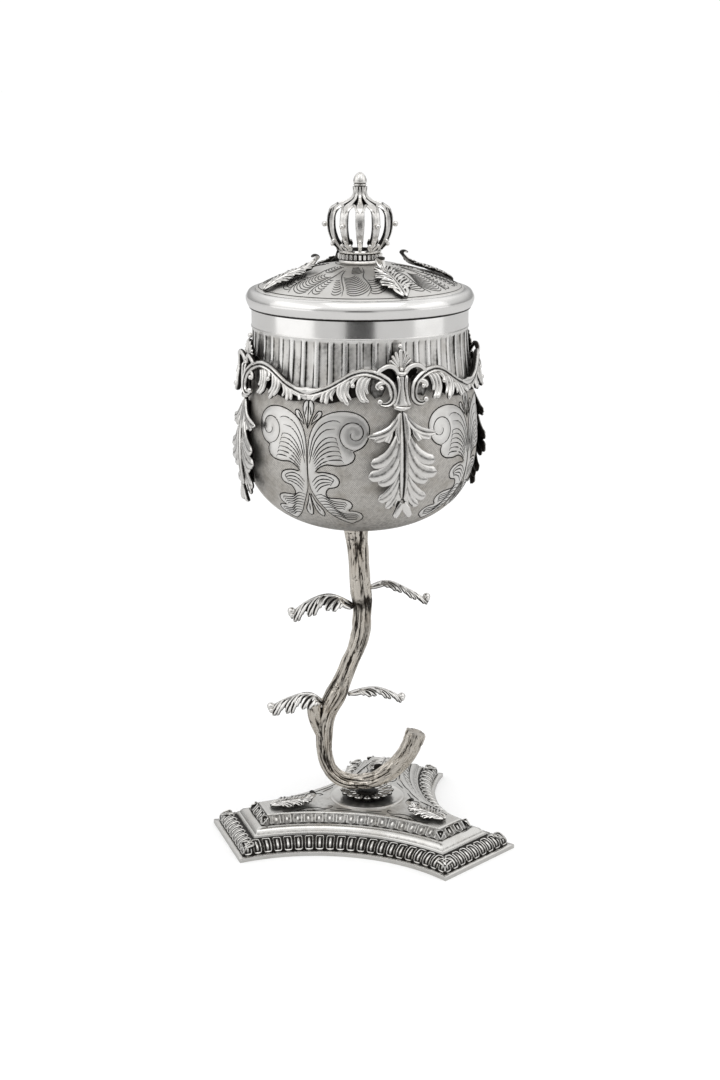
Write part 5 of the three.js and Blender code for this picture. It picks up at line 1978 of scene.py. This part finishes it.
@dataclass
class Crown:
    """The crown: a beaded ring, twelve arches with balls, a neck and a bud."""

    shop: Workshop
    seat_radius: float = 9.3
    sink: float = 0.3
    ring_rise: float = 4.0
    height: float = 38.7
    swell: float = 13.7
    bead_radius: float = 8.4
    beads: int = 28
    arches: int = 12
    cusps: int = 8
    columns: int = 72

    def __post_init__(self) -> None:
        """Works out where the crown stands."""
        self._axis_x = self.shop.bowl.axis_x
        self._base = float(self.shop.lid.height(self.seat_radius)) + self.sink
        self._rise = self.height - self.ring_rise
        self._casting = Casting()

    def make(self) -> None:
        """Makes the crown."""
        self._make_ring()
        for number, heading in enumerate(headings(self.arches, 0)):
            self._make_arch(heading, fleuron=number % 2 == 0)
        for heading in headings(self.cusps, 0):
            self._make_cusps(heading)
        # The neck is painted dark: painted shade inside the crown's arches.
        neck = [(radius, self._at(share)) for radius, share, _ in CROWN_NECK]
        self._casting.turn(neck, self._axis_x, self.columns, [wear for _, _, wear in CROWN_NECK])
        self._make_bud()
        self.shop.deliver(self._casting, "crown_cast", "crown", [self.shop.chased])

    def _at(self, share: float) -> float:
        """Gives the height at a share of the rise over the ring."""
        return self._base + self.ring_rise + share * self._rise

    def _point(self, heading: float, radius: float, z: float, aside: float = 0) -> Array:
        """Gives the point at a radius and height, stepped aside at right angles to the heading."""
        x = self._axis_x + radius * math.cos(heading) - aside * math.sin(heading)
        return np.array([x, radius * math.sin(heading) + aside * math.cos(heading), z])

    def _make_ring(self) -> None:
        """Turns the ring and lays its beads."""
        ring = [(radius, self._base + up) for radius, up, _ in CROWN_RING]
        marks = [wear for _, _, wear in CROWN_RING]
        self._casting.turn(ring, self._axis_x, self.columns, marks, closed=True)
        bead = Casting()
        route = [(0, -0.25, 1.35), (0, -0.25, 0), (0, -0.25, -1.35)]
        bead.sweep(SPACE, route, (0.74, 0.76, 0.74), 1.0, steps=8)
        angle = np.array(headings(self.columns, 0))
        circle = turned([(self.bead_radius, self._base + 2.75)], self._axis_x, angle)[0]
        spacing = TURN * self.bead_radius / self.beads
        beads = self.shop.row.lay([circle], bead, spacing, self.shop.chased, closed=True)
        self._casting.add_mesh(beads)

    def _make_arch(self, heading: float, fleuron: bool) -> None:
        """Makes one arch with its balls and its link to the next arch.

        Args:
            heading: The way the arch stands out.
            fleuron: Whether it has a ball on its swell and a fleuron at its foot, or a low ball.
        """
        side = np.array([-math.sin(heading), math.cos(heading), 0])
        knots = [self._point(heading, out * self.swell, self._at(up)) for out, up in CROWN_ARCH]
        self._casting.strap(knots, side, (0.75, 1.5, 2.05, 1.8, 0.8, 0.55), 0.85)
        if fleuron:
            for proud, size in ((1.6, 1.2), (0.4, 0.8)):
                centre = self._point(heading, self.swell + proud, self._at(0.36))
                self._casting.ball(SPACE, centre, size)
        else:
            self._casting.ball(SPACE, self._point(heading, 13.0, self._at(0.17)), 0.9)
        middle = heading + TURN / self.arches / 2
        outwards = np.array([math.cos(middle), math.sin(middle), 0])
        link = [
            self._point(middle + swing, out * self.swell, self._at(up))
            for swing, out, up in CROWN_LINK
        ]
        self._casting.strap(link, outwards, (0.5, 0.6, 0.5), 0.55, turned=True)
        if fleuron:
            self._make_fleuron(heading, side)

    def _make_fleuron(self, heading: float, side: Array) -> None:
        """Makes the three-leaved fleuron in front of an arch's foot.

        Args:
            heading: The way the arch stands out.
            side: The direction of its width.
        """
        foot = self._at(0)
        for lean, reach in ((-1.7, 2.2), (0, 3.9), (1.7, 2.2)):
            leaf = [
                self._point(heading, 9.2, foot + 1.5, 0.3 * lean),
                self._point(heading, 10.6, foot + 1.8 + 0.6 * reach, lean),
                self._point(heading, 11.6, foot + 1.8 + reach, 1.2 * lean),
            ]
            self._casting.strap(leaf, side, (0.6, 0.95, 0.6), 0.5)
            tip = self._point(heading, 11.9, foot + 1.8 + reach, 1.2 * lean)
            self._casting.ball(SPACE, tip, 0.85)

    def _make_cusps(self, heading: float) -> None:
        """Makes a pair of pointed cusps on the neck."""
        side = np.array([-math.sin(heading), math.cos(heading), 0])
        for lean in (-1, 1):
            cusp = [
                self._point(heading, 2.5, self._at(0.66), 0.95 * lean),
                self._point(heading, 2.7, self._at(0.75), 0.45 * lean),
                self._point(heading, 2.9, self._at(0.82)),
            ]
            self._casting.strap(cusp, side, (0.4, 0.35, 0.3), 0.4)

    def _make_bud(self) -> None:
        """Makes the bud on its collar, with four soft furrows."""
        angle = np.arange(self.columns) * TURN / self.columns
        lobes = 1 - 0.09 * np.exp(-((np.abs(np.sin(2 * angle)) / 0.16) ** 2))
        rings = []
        for radius, share in CROWN_BUD:
            wide = radius * (lobes if share > 0.86 else 1)
            x = wide * np.cos(angle) + self._axis_x
            rings.append(np.stack([x, wide * np.sin(angle), self._at(share) + 0 * angle], axis=1))
        wear = np.tile(1 - 9 * (1 - lobes), (len(CROWN_BUD), 1))
        wear[: len(BUD_COLLAR_WEAR)] = BUD_COLLAR_WEAR
        self._casting.skin(np.array(rings), np.clip(wear, 0, 1))


@dataclass
class Foot:
    """The stepped foot, with gadroons round its edge and tongues round its top step."""

    shop: Workshop
    top_shares: Sequence[float] = (0.93, 0.84, 0.74, 0.62, 0.5, 0.36, 0.2)
    top_wear: float = 0.62
    line_half_width: float = 0.2

    def make(self) -> None:
        """Makes the foot with its rows, its round seat and its engraving."""
        form = self.shop.foot
        rings = []
        for inset, z, _ in FOOT_STEPS:
            ring = np.concatenate(form.outline(inset, 20, 60))
            rings.append(np.column_stack([ring, np.full(len(ring), z)]))
        last = rings[-1]
        rings += [last * [share, share, 1] for share in self.top_shares]
        worn_and_shaded = [wear for _, _, wear in FOOT_STEPS] + [self.top_wear] * len(self.top_shares)
        ground = [0.0] * len(FOOT_STEPS) + [0.5] * len(self.top_shares)
        across = np.ones(len(last))
        casting = Casting()
        casting.skin(np.array(rings), np.outer(worn_and_shaded, across), np.outer(ground, across))
        for row in FOOT_ROWS:
            gap = 0.52 * row.spacing
            runs = form.outline(row.inset, 12, 48, gap=gap)
            routes = [np.column_stack([run, np.zeros(len(run))]) for run in runs]
            tongues = self.shop.row.lay(
                routes, self._tongue(row), row.spacing, self.shop.foot_silver
            )
            casting.add_mesh(tongues)
        casting.turn(FOOT_SEAT, 0, 96, 0.85, 0.3)
        engraver = Engraver(casting, self.line_half_width)
        for heading in headings(form.arms, form.heading):
            engraver.engrave(PolarChart(heading, form.top - 0.05), FOOT_MOTIF)
        self.shop.deliver(casting, "foot_cast", "foot", [self.shop.foot_silver])

    def _tongue(self, row: TongueRow) -> Casting:
        """Casts one rounded tongue, with a raised border round a raised lens.

        Args:
            row: The row that it belongs to.

        Returns:
            The casting, with x along the row.
        """
        line = smooth_path(row.slope, 19)
        run = directions(line)
        over = np.stack([-run[:, 1], run[:, 0]], axis=1)
        share = np.linspace(0, 1, len(line))[:, None]
        near_end = np.clip(np.minimum(share, 1 - share) / 0.16, 0, 1)
        rounding = np.sqrt(np.clip(1 - (1 - near_end) ** 2, 0.04, 1))
        across = np.concatenate([np.linspace(-1, 1, 15), np.linspace(0.9, -0.9, 4)])
        top = np.arange(len(across)) < 15
        lens_length = np.exp(-(((share - 0.5) / row.lens_share) ** 4))
        lens = np.exp(-((across / 0.24) ** 4)) * lens_length
        rim = np.maximum(np.abs(across) - 0.84, 1.6 * (0.8 - rounding))
        border = np.exp(-((np.minimum(rim, 0) / 0.13) ** 2))
        face = row.height * (np.maximum(border, 0.9 * lens) - 0.35) * rounding
        rise = np.where(top, face, -0.6)
        rise[:, [0, 14]] = -0.2
        worn_and_shaded = np.where(top, np.maximum(border, lens) * (0.3 + 0.6 * rounding), 0)
        x = row.half_width * across[None, :] * rounding
        y = line[:, :1] + over[:, :1] * rise
        z = line[:, 1:] + over[:, 1:] * rise
        element = Casting()
        element.skin(np.stack([x, y, z], axis=-1), worn_and_shaded)
        return element


@dataclass
class Rosette:
    """The rosette that the branch rests on."""

    shop: Workshop
    petals: int = 16
    root_radius: float = 4.4

    def make(self) -> None:
        """Makes the core and lays the petals round it."""
        casting = Casting()
        # The core is painted nearly black: painted shade under the petals and the branch.
        casting.turn(ROSETTE_CORE, 0, 48, 0.02)
        petal = Casting()
        petal.sweep(
            SPACE,
            [(0, -0.5, 16.1), (0, -2.6, 16.2), (0, -5.0, 16.7), (0, -7.2, 17.3), (0, -7.9, 17.6)],
            (0.5, 0.8, 1.35, 1.85, 1.4),
            0.85,
            groove=0.5,
            steps=16,
            low=-0.4,
        )
        circle = turned([(self.root_radius, 0)], 0, np.array(headings(48, 0)))[0]
        spacing = TURN * self.root_radius / self.petals
        casting.add_mesh(self.shop.row.lay([circle], petal, spacing, self.shop.chased, closed=True))
        self.shop.deliver(casting, "rosette_cast", "rosette", [self.shop.chased])


@dataclass
class Branch:
    """The branch with its bark, node collar, fork and cut stub."""

    shop: Workshop
    stations: int = 520
    sides: int = 76
    collar_z: float = 108
    fork_z: float = 62
    stub: Sequence[Point] = ((-18.6, 0, 40), (-22.0, -0.6, 47), (-23.9, -1.4, 53), (-24.4, -2.0, 60))

    def make(self) -> None:
        """Makes the branch and its stub."""
        form = self.shop.branch
        shares = smooth_path(BRANCH_ROUTE, self.stations)
        x = self.shop.bowl.axis_x + shares[:, 0] * form.height
        z = form.base + shares[:, 1] * form.height
        route = np.stack([x, 0 * x, z], axis=1)
        furrow, facet = self._bark_marks(self.stations, self.sides, 11)
        station = np.arange(self.stations)
        upper = station > self.stations / 2
        collar = np.exp(-(((z - self.collar_z) / 4.2) ** 2)) * upper
        beyond_hook = station > self.stations / 3
        fork = np.exp(-(((z - self.fork_z) / 5.0) ** 2)) * beyond_hook
        radius = form.thickness * shares[:, 2] - 0.15 + 0.3 * collar + 0.5 * fork
        near_end = np.clip(np.minimum(station, self.stations - 1 - station) / 6, 0, 1)
        radius = radius * (0.93 + 0.07 * near_end)
        across = np.array([0, 1.0, 0])
        over = np.cross(directions(route), across)[:, None]
        angle = TURN * np.arange(self.sides)[:, None] / self.sides
        knobs = collar[:, None] * (0.5 * np.cos(5 * angle[:, 0])[None, :] - 0.3)
        wide = radius[:, None] - 0.5 * furrow + 0.35 * facet + 0.5 * knobs
        round_it = across * np.cos(angle) + over * np.sin(angle)
        points = route[:, None] + wide[..., None] * round_it
        points[:, :, 2] = np.minimum(points[:, :, 2], form.base + form.height)
        wear = np.clip(0.8 - 0.75 * furrow + 0.45 * facet, 0.02, 1) * (1 - 0.7 * collar[:, None])
        casting = Casting()
        casting.skin(points, wear)
        self._add_stub(casting)
        self.shop.deliver(casting, "branch_cast", "branch", [self.shop.bark], "bark_silver")

    @staticmethod
    def _bark_marks(rows: int, columns: int, seed: int) -> tuple[Array, Array]:
        """Makes a bark.

        Args:
            rows: Points along it.
            columns: Points round it.
            seed: Seed of its first random field.

        Returns:
            The depth of its furrows, from 0 to 1, and the tilt of its facets.
        """
        long_lines = streaks(rows, columns, 40, 2.0, seed)
        short_lines = streaks(rows, columns, 18, 1.7, seed + 1)
        furrow = np.exp(-((long_lines / 0.15) ** 2)) + 0.8 * np.exp(-((short_lines / 0.13) ** 2))
        return np.clip(furrow, 0, 1), np.clip(streaks(rows, columns, 22, 2.2, seed + 2), -1, 1)

    def _add_stub(self, casting: Casting) -> None:
        """Adds the cut side shoot at the fork."""
        steps = 60
        sides = 40
        route = smooth_path(self.stub, steps)
        run = directions(route)
        side = np.array([0, 1.0, 0]) - run * run[:, 1:2]
        side /= np.linalg.norm(side, axis=1, keepdims=True)
        over = np.cross(run, side)
        angle = TURN * np.arange(sides)[:, None] / sides
        furrow, facet = self._bark_marks(steps, sides, 21)
        wide = np.linspace(2.4, 3.3, steps)[:, None] - 0.45 * furrow + 0.2 * facet
        round_it = side[:, None] * np.cos(angle) + over[:, None] * np.sin(angle)
        points = route[:, None] + wide[..., None] * round_it
        casting.skin(points, np.clip(0.78 - 0.85 * furrow + 0.3 * facet, 0.02, 1))


@dataclass(frozen=True)
class LeafShape:
    """The size of an acanthus leaf."""

    length: float
    half_width: float
    curl: float = 0
    lift: float = 0

    def proud(self, share: Array | float) -> Array:
        """Gives the blade's height over the carrier at a share of its length."""
        tip = np.clip((np.asarray(share, float) - 0.72) / 0.28, 0, 1) ** 2
        return self.lift + 0.5 * np.sin(math.pi * np.clip(share, 0, 1)) + 0.8 * self.curl * tip

    def at(self, share: float, v: float, over: float) -> tuple[float, float, float]:
        """Gives the point at a share of the length, off the midrib and over the blade."""
        return share * self.length, v, float(self.proud(share)) + over


@dataclass
class Leaves:
    """The applied leaves on the lid and foot, and the free leaves on the branch."""

    shop: Workshop
    on_lid: LeafShape = LeafShape(25, 7, curl=5.2, lift=0.5)
    on_foot: LeafShape = LeafShape(21, 6.2, curl=4.0, lift=0.4)
    lid_root: float = 45.0
    foot_root: float = 46.3
    free_length: float = 31
    free_half_width: float = 6.0

    def make(self) -> None:
        """Makes the leaves of the lid, the foot and the branch."""
        axis_x = self.shop.bowl.axis_x
        lid = self.shop.lid
        foot = self.shop.foot
        branch = self.shop.branch
        for number, heading in enumerate(headings(lid.leaves, lid.leaf_heading), start=1):
            chart = RadialChart(axis_x, heading, self.lid_root, lid, 0)
            self._make_leaf(chart, f"lid_leaf_{number}", self.on_lid)
        for number, heading in enumerate(headings(foot.arms, foot.heading), start=1):
            chart = RadialChart(0, heading, self.foot_root, None, foot.top)
            self._make_leaf(chart, f"foot_leaf_{number}", self.on_foot)
        for leaf in BRANCH_LEAVES:
            out, up = leaf.root
            place = (axis_x + out * branch.height, branch.base + up * branch.height)
            shape = LeafShape(self.free_length * leaf.reach, self.free_half_width)
            heading = math.radians(leaf.heading_deg)
            chart = RibChart(place, heading, shape.length, leaf.rib, leaf.droop)
            self._make_leaf(chart, f"branch_leaf_{leaf.name}", shape)

    def _make_leaf(self, chart: Chart, node: str, shape: LeafShape) -> None:
        """Makes one acanthus leaf with lobed sides, raised veins and a curled tip.

        Args:
            chart: Where it lies.
            node: The CAD node that it stands for.
            shape: Its size.
        """
        casting = Casting()
        self._add_blade(casting, chart, shape)
        self._add_lobes(casting, chart, shape)
        self._add_tip(casting, chart, shape)
        self._add_root(casting, chart, shape)
        self.shop.deliver(casting, f"{node}_cast", node, [self.shop.chased])

    def _add_blade(self, casting: Casting, chart: Chart, shape: LeafShape) -> None:
        """Adds the thin blade that the lobes lie on."""
        share = np.linspace(0, 1, 60)[:, None]
        outline = smooth_path(LEAF_OUTLINE, 240)
        edge = 0.86 * shape.half_width * np.interp(share, outline[:, 0], outline[:, 1])
        across = np.concatenate([np.linspace(-1, 1, 9), np.linspace(0.9, -0.9, 5)])[None, :]
        top = (np.arange(14) < 9)[None, :]
        v = edge * across
        height = shape.proud(share) + np.where(top, 0.45, -0.25)
        blade = np.stack([share * shape.length + 0 * v, v, height], axis=-1)
        # The blade's top is painted dark as shade between the lobes; its underside is a little lighter.
        casting.skin(chart.place(blade), np.where(top, 0.1, 0.3) + 0 * v)

    def _add_lobes(self, casting: Casting, chart: Chart, shape: LeafShape) -> None:
        """Adds the lobes on both sides, and the midrib over their roots."""
        scale = shape.half_width / 6
        widths = [scale * half for half in (0.45, 0.95, 1.35, 1.0)]
        for start, end, reach in LEAF_LOBES:
            for sign in (-1, 1):
                knots = [
                    shape.at(
                        start + along * (end - start), sign * out * reach * shape.half_width, rise
                    )
                    for along, out, rise in LOBE_ROUTE
                ]
                casting.sweep(chart, knots, widths, 0.75, groove=0.65, steps=16, low=-0.3)
        rib = [shape.at(share, 0, 0.9) for share in (0.02, 0.2, 0.4, 0.6, 0.8, 0.95)]
        casting.sweep(chart, rib, (1.5, 1.0, 0.9, 0.8, 0.6), 0.9, groove=0.6, steps=30)

    def _add_tip(self, casting: Casting, chart: Chart, shape: LeafShape) -> None:
        """Adds a tip that curls back, or three small beads where the leaf is free."""
        if not shape.curl:
            for v, radius in ((-1.6, 1.2), (0, 1.8), (1.6, 1.2)):
                casting.ball(chart, (0.97 * shape.length, v, 0.4), radius)
            return
        end = shape.at(1, 0, 0)[2]
        tip = [
            shape.at(0.86, 0, 0.4),
            shape.at(0.97, 0, 0.4),
            shape.at(1, 0, 0.5),
            (0.95 * shape.length, 0, end + 1.4),
            (0.88 * shape.length, 0, end + 1.0),
        ]
        casting.sweep(chart, tip, (1.4, 2.0, 2.2, 2.0, 1.2), 0.55, groove=0.4, steps=20)

    def _add_root(self, casting: Casting, chart: Chart, shape: LeafShape) -> None:
        """Adds the eyes, low ridges painted dark as shaded holes, and the loops round them at the leaf's
        root.
        """
        length = shape.length
        lift = shape.lift
        for sign in (-1, 1):
            # The eye is painted all dark: painted shade standing for a hole.
            eye = [(0.06 * length, 1.2 * sign, 1.0 + lift), (0.17 * length, 1.5 * sign, 1.1 + lift)]
            casting.sweep(chart, eye, (0.5, 0.8, 0.4), 0.3, low=0, high=0, steps=8)
            loop = [
                (0.0, 0.5 * sign, lift + 0.8),
                (0.1 * length, 2.5 * sign, lift + 1.1),
                (0.2 * length, 2.7 * sign, lift + 1.2),
                (0.27 * length, 0.9 * sign, lift + 1.4),
            ]
            casting.sweep(chart, loop, (0.6, 0.7, 0.7, 0.4), 0.6, steps=16)


# The studio


class Studio:
    """The floor, the light and the camera."""

    def __init__(self) -> None:
        """Takes the scene."""
        self._scene = bpy.context.scene

    def make_all(self) -> None:
        """Makes the whole studio."""
        self._make_world()
        self._make_floor()
        self._make_lights()
        self._make_camera()
        self._scene.view_settings.view_transform = "Standard"

    def _make_world(self) -> None:
        """Makes a pale surround that is darker where the silver should find its shadows."""
        world = bpy.data.worlds.new("studio")
        world.use_nodes = True
        bench = NodeBench(world.node_tree)
        background = world.node_tree.nodes["Background"]
        direction = bench.node("ShaderNodeTexCoord").outputs["Generated"]
        split = bench.node("ShaderNodeSeparateXYZ")
        bench.link(direction, split.inputs[0])
        ramp = bench.node("ShaderNodeValToRGB")
        ramp.color_ramp.interpolation = "EASE"
        stops = ((0.0, 0.5), (0.44, 0.5), (0.53, 0.34), (0.66, 0.66), (0.84, 1.0), (1.0, 0.75))
        for place, _ in stops[1:-1]:
            ramp.color_ramp.elements.new(place)
        for element, (place, value) in zip(ramp.color_ramp.elements, stops):
            element.position = place
            element.color = (value, value, value, 1)
        bench.link(bench.math("MULTIPLY_ADD", split.outputs["Z"], 0.5, 0.5), ramp.inputs["Fac"])
        mirrored_ray = bench.node("ShaderNodeLightPath").outputs["Is Glossy Ray"]
        pale = (1.07, 1.07, 1.07, 1)
        bench.link(bench.mix(mirrored_ray, pale, ramp.outputs["Color"]), background.inputs["Color"])
        background.inputs["Strength"].default_value = 1.0
        self._scene.world = world

    def _make_floor(self) -> None:
        """Lays a plain pale floor, and stands a dark card behind the camera for the silver."""
        ground = [(-12, -12, 0), (12, -12, 0), (12, 12, 0), (-12, 12, 0)]
        self._make_sheet("floor", ground, 0.95, 0.58)
        upright = [(-0.32, -1.1, 0), (0.32, -1.1, 0), (0.2, -1.1, 0.3), (-0.2, -1.1, 0.3)]
        card = self._make_sheet("dark_card", upright, 0.02, 0.02)
        card.visible_camera = False

    def _make_sheet(
        self, name: str, corners: list[Point], pale: float, mirrored_pale: float
    ) -> bpy.types.Object:
        """Makes a matt sheet whose mirror image in the silver may have another tone.

        Args:
            name: Its name.
            corners: Its corners in metres.
            pale: Its tone as seen.
            mirrored_pale: Its tone in the silver.

        Returns:
            The sheet.
        """
        mesh = bpy.data.meshes.new(name)
        mesh.from_pydata(corners, [], [(0, 1, 2, 3)])
        sheet = bpy.data.objects.new(name, mesh)
        self._scene.collection.objects.link(sheet)
        material = bpy.data.materials.new(name)
        material.use_nodes = True
        bench = NodeBench(material.node_tree)
        shader = material.node_tree.nodes["Principled BSDF"]
        mirrored_ray = bench.node("ShaderNodeLightPath").outputs["Is Glossy Ray"]
        tones = [(value, value, value, 1) for value in (pale, mirrored_pale)]
        bench.link(bench.mix(mirrored_ray, *tones), shader.inputs["Base Color"])
        shader.inputs["Roughness"].default_value = 0.9
        shader.inputs["Specular IOR Level"].default_value = 0.1
        mesh.materials.append(material)
        return sheet

    def _make_lights(self) -> None:
        """Hangs soft boxes to both sides and over the goblet."""
        boxes = (
            ("left_box", (-0.8, -0.25, 0.4), (0.85, 0.9), 1.15),
            ("right_box", (0.85, -0.2, 0.45), (0.7, 0.8), 0.8),
            ("top_box", (0.05, -0.35, 1.1), (0.9, 0.6), 1.8),
        )
        for name, place, size, power in boxes:
            light = bpy.data.lights.new(name, "AREA")
            light.shape = "RECTANGLE"
            light.size, light.size_y = size
            light.energy = power
            holder = bpy.data.objects.new(name, light)
            holder.location = place
            aim = Vector((0, 0, 0.15)) - holder.location
            holder.rotation_euler = aim.to_track_quat("-Z", "Y").to_euler()
            self._scene.collection.objects.link(holder)

    def _make_camera(self) -> None:
        """Sets up the camera as the photograph was taken."""
        camera = bpy.data.cameras.new("camera")
        camera.lens = 65.57
        camera.sensor_width = 36
        camera.shift_y = -0.0267
        holder = bpy.data.objects.new("camera", camera)
        holder.location = (-0.0033, -0.8547, 0.3579)
        aim = Vector((-0.0033, 0, 0.150)) - holder.location
        holder.rotation_euler = aim.to_track_quat("-Z", "Y").to_euler()
        self._scene.collection.objects.link(holder)
        self._scene.camera = holder


def main() -> None:
    """Loads the frame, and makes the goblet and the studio."""
    logging.basicConfig(level=logging.INFO, format="%(message)s")
    for old in list(bpy.data.objects):
        bpy.data.objects.remove(old)
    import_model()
    Studio().make_all()
    shop = Workshop()
    for assembly in (Bowl, Mounts, Lid, Crown, Foot, Rosette, Branch, Leaves):
        assembly(shop).make()
    bpy.context.view_layer.update()


if __name__ == "__main__":
    main()
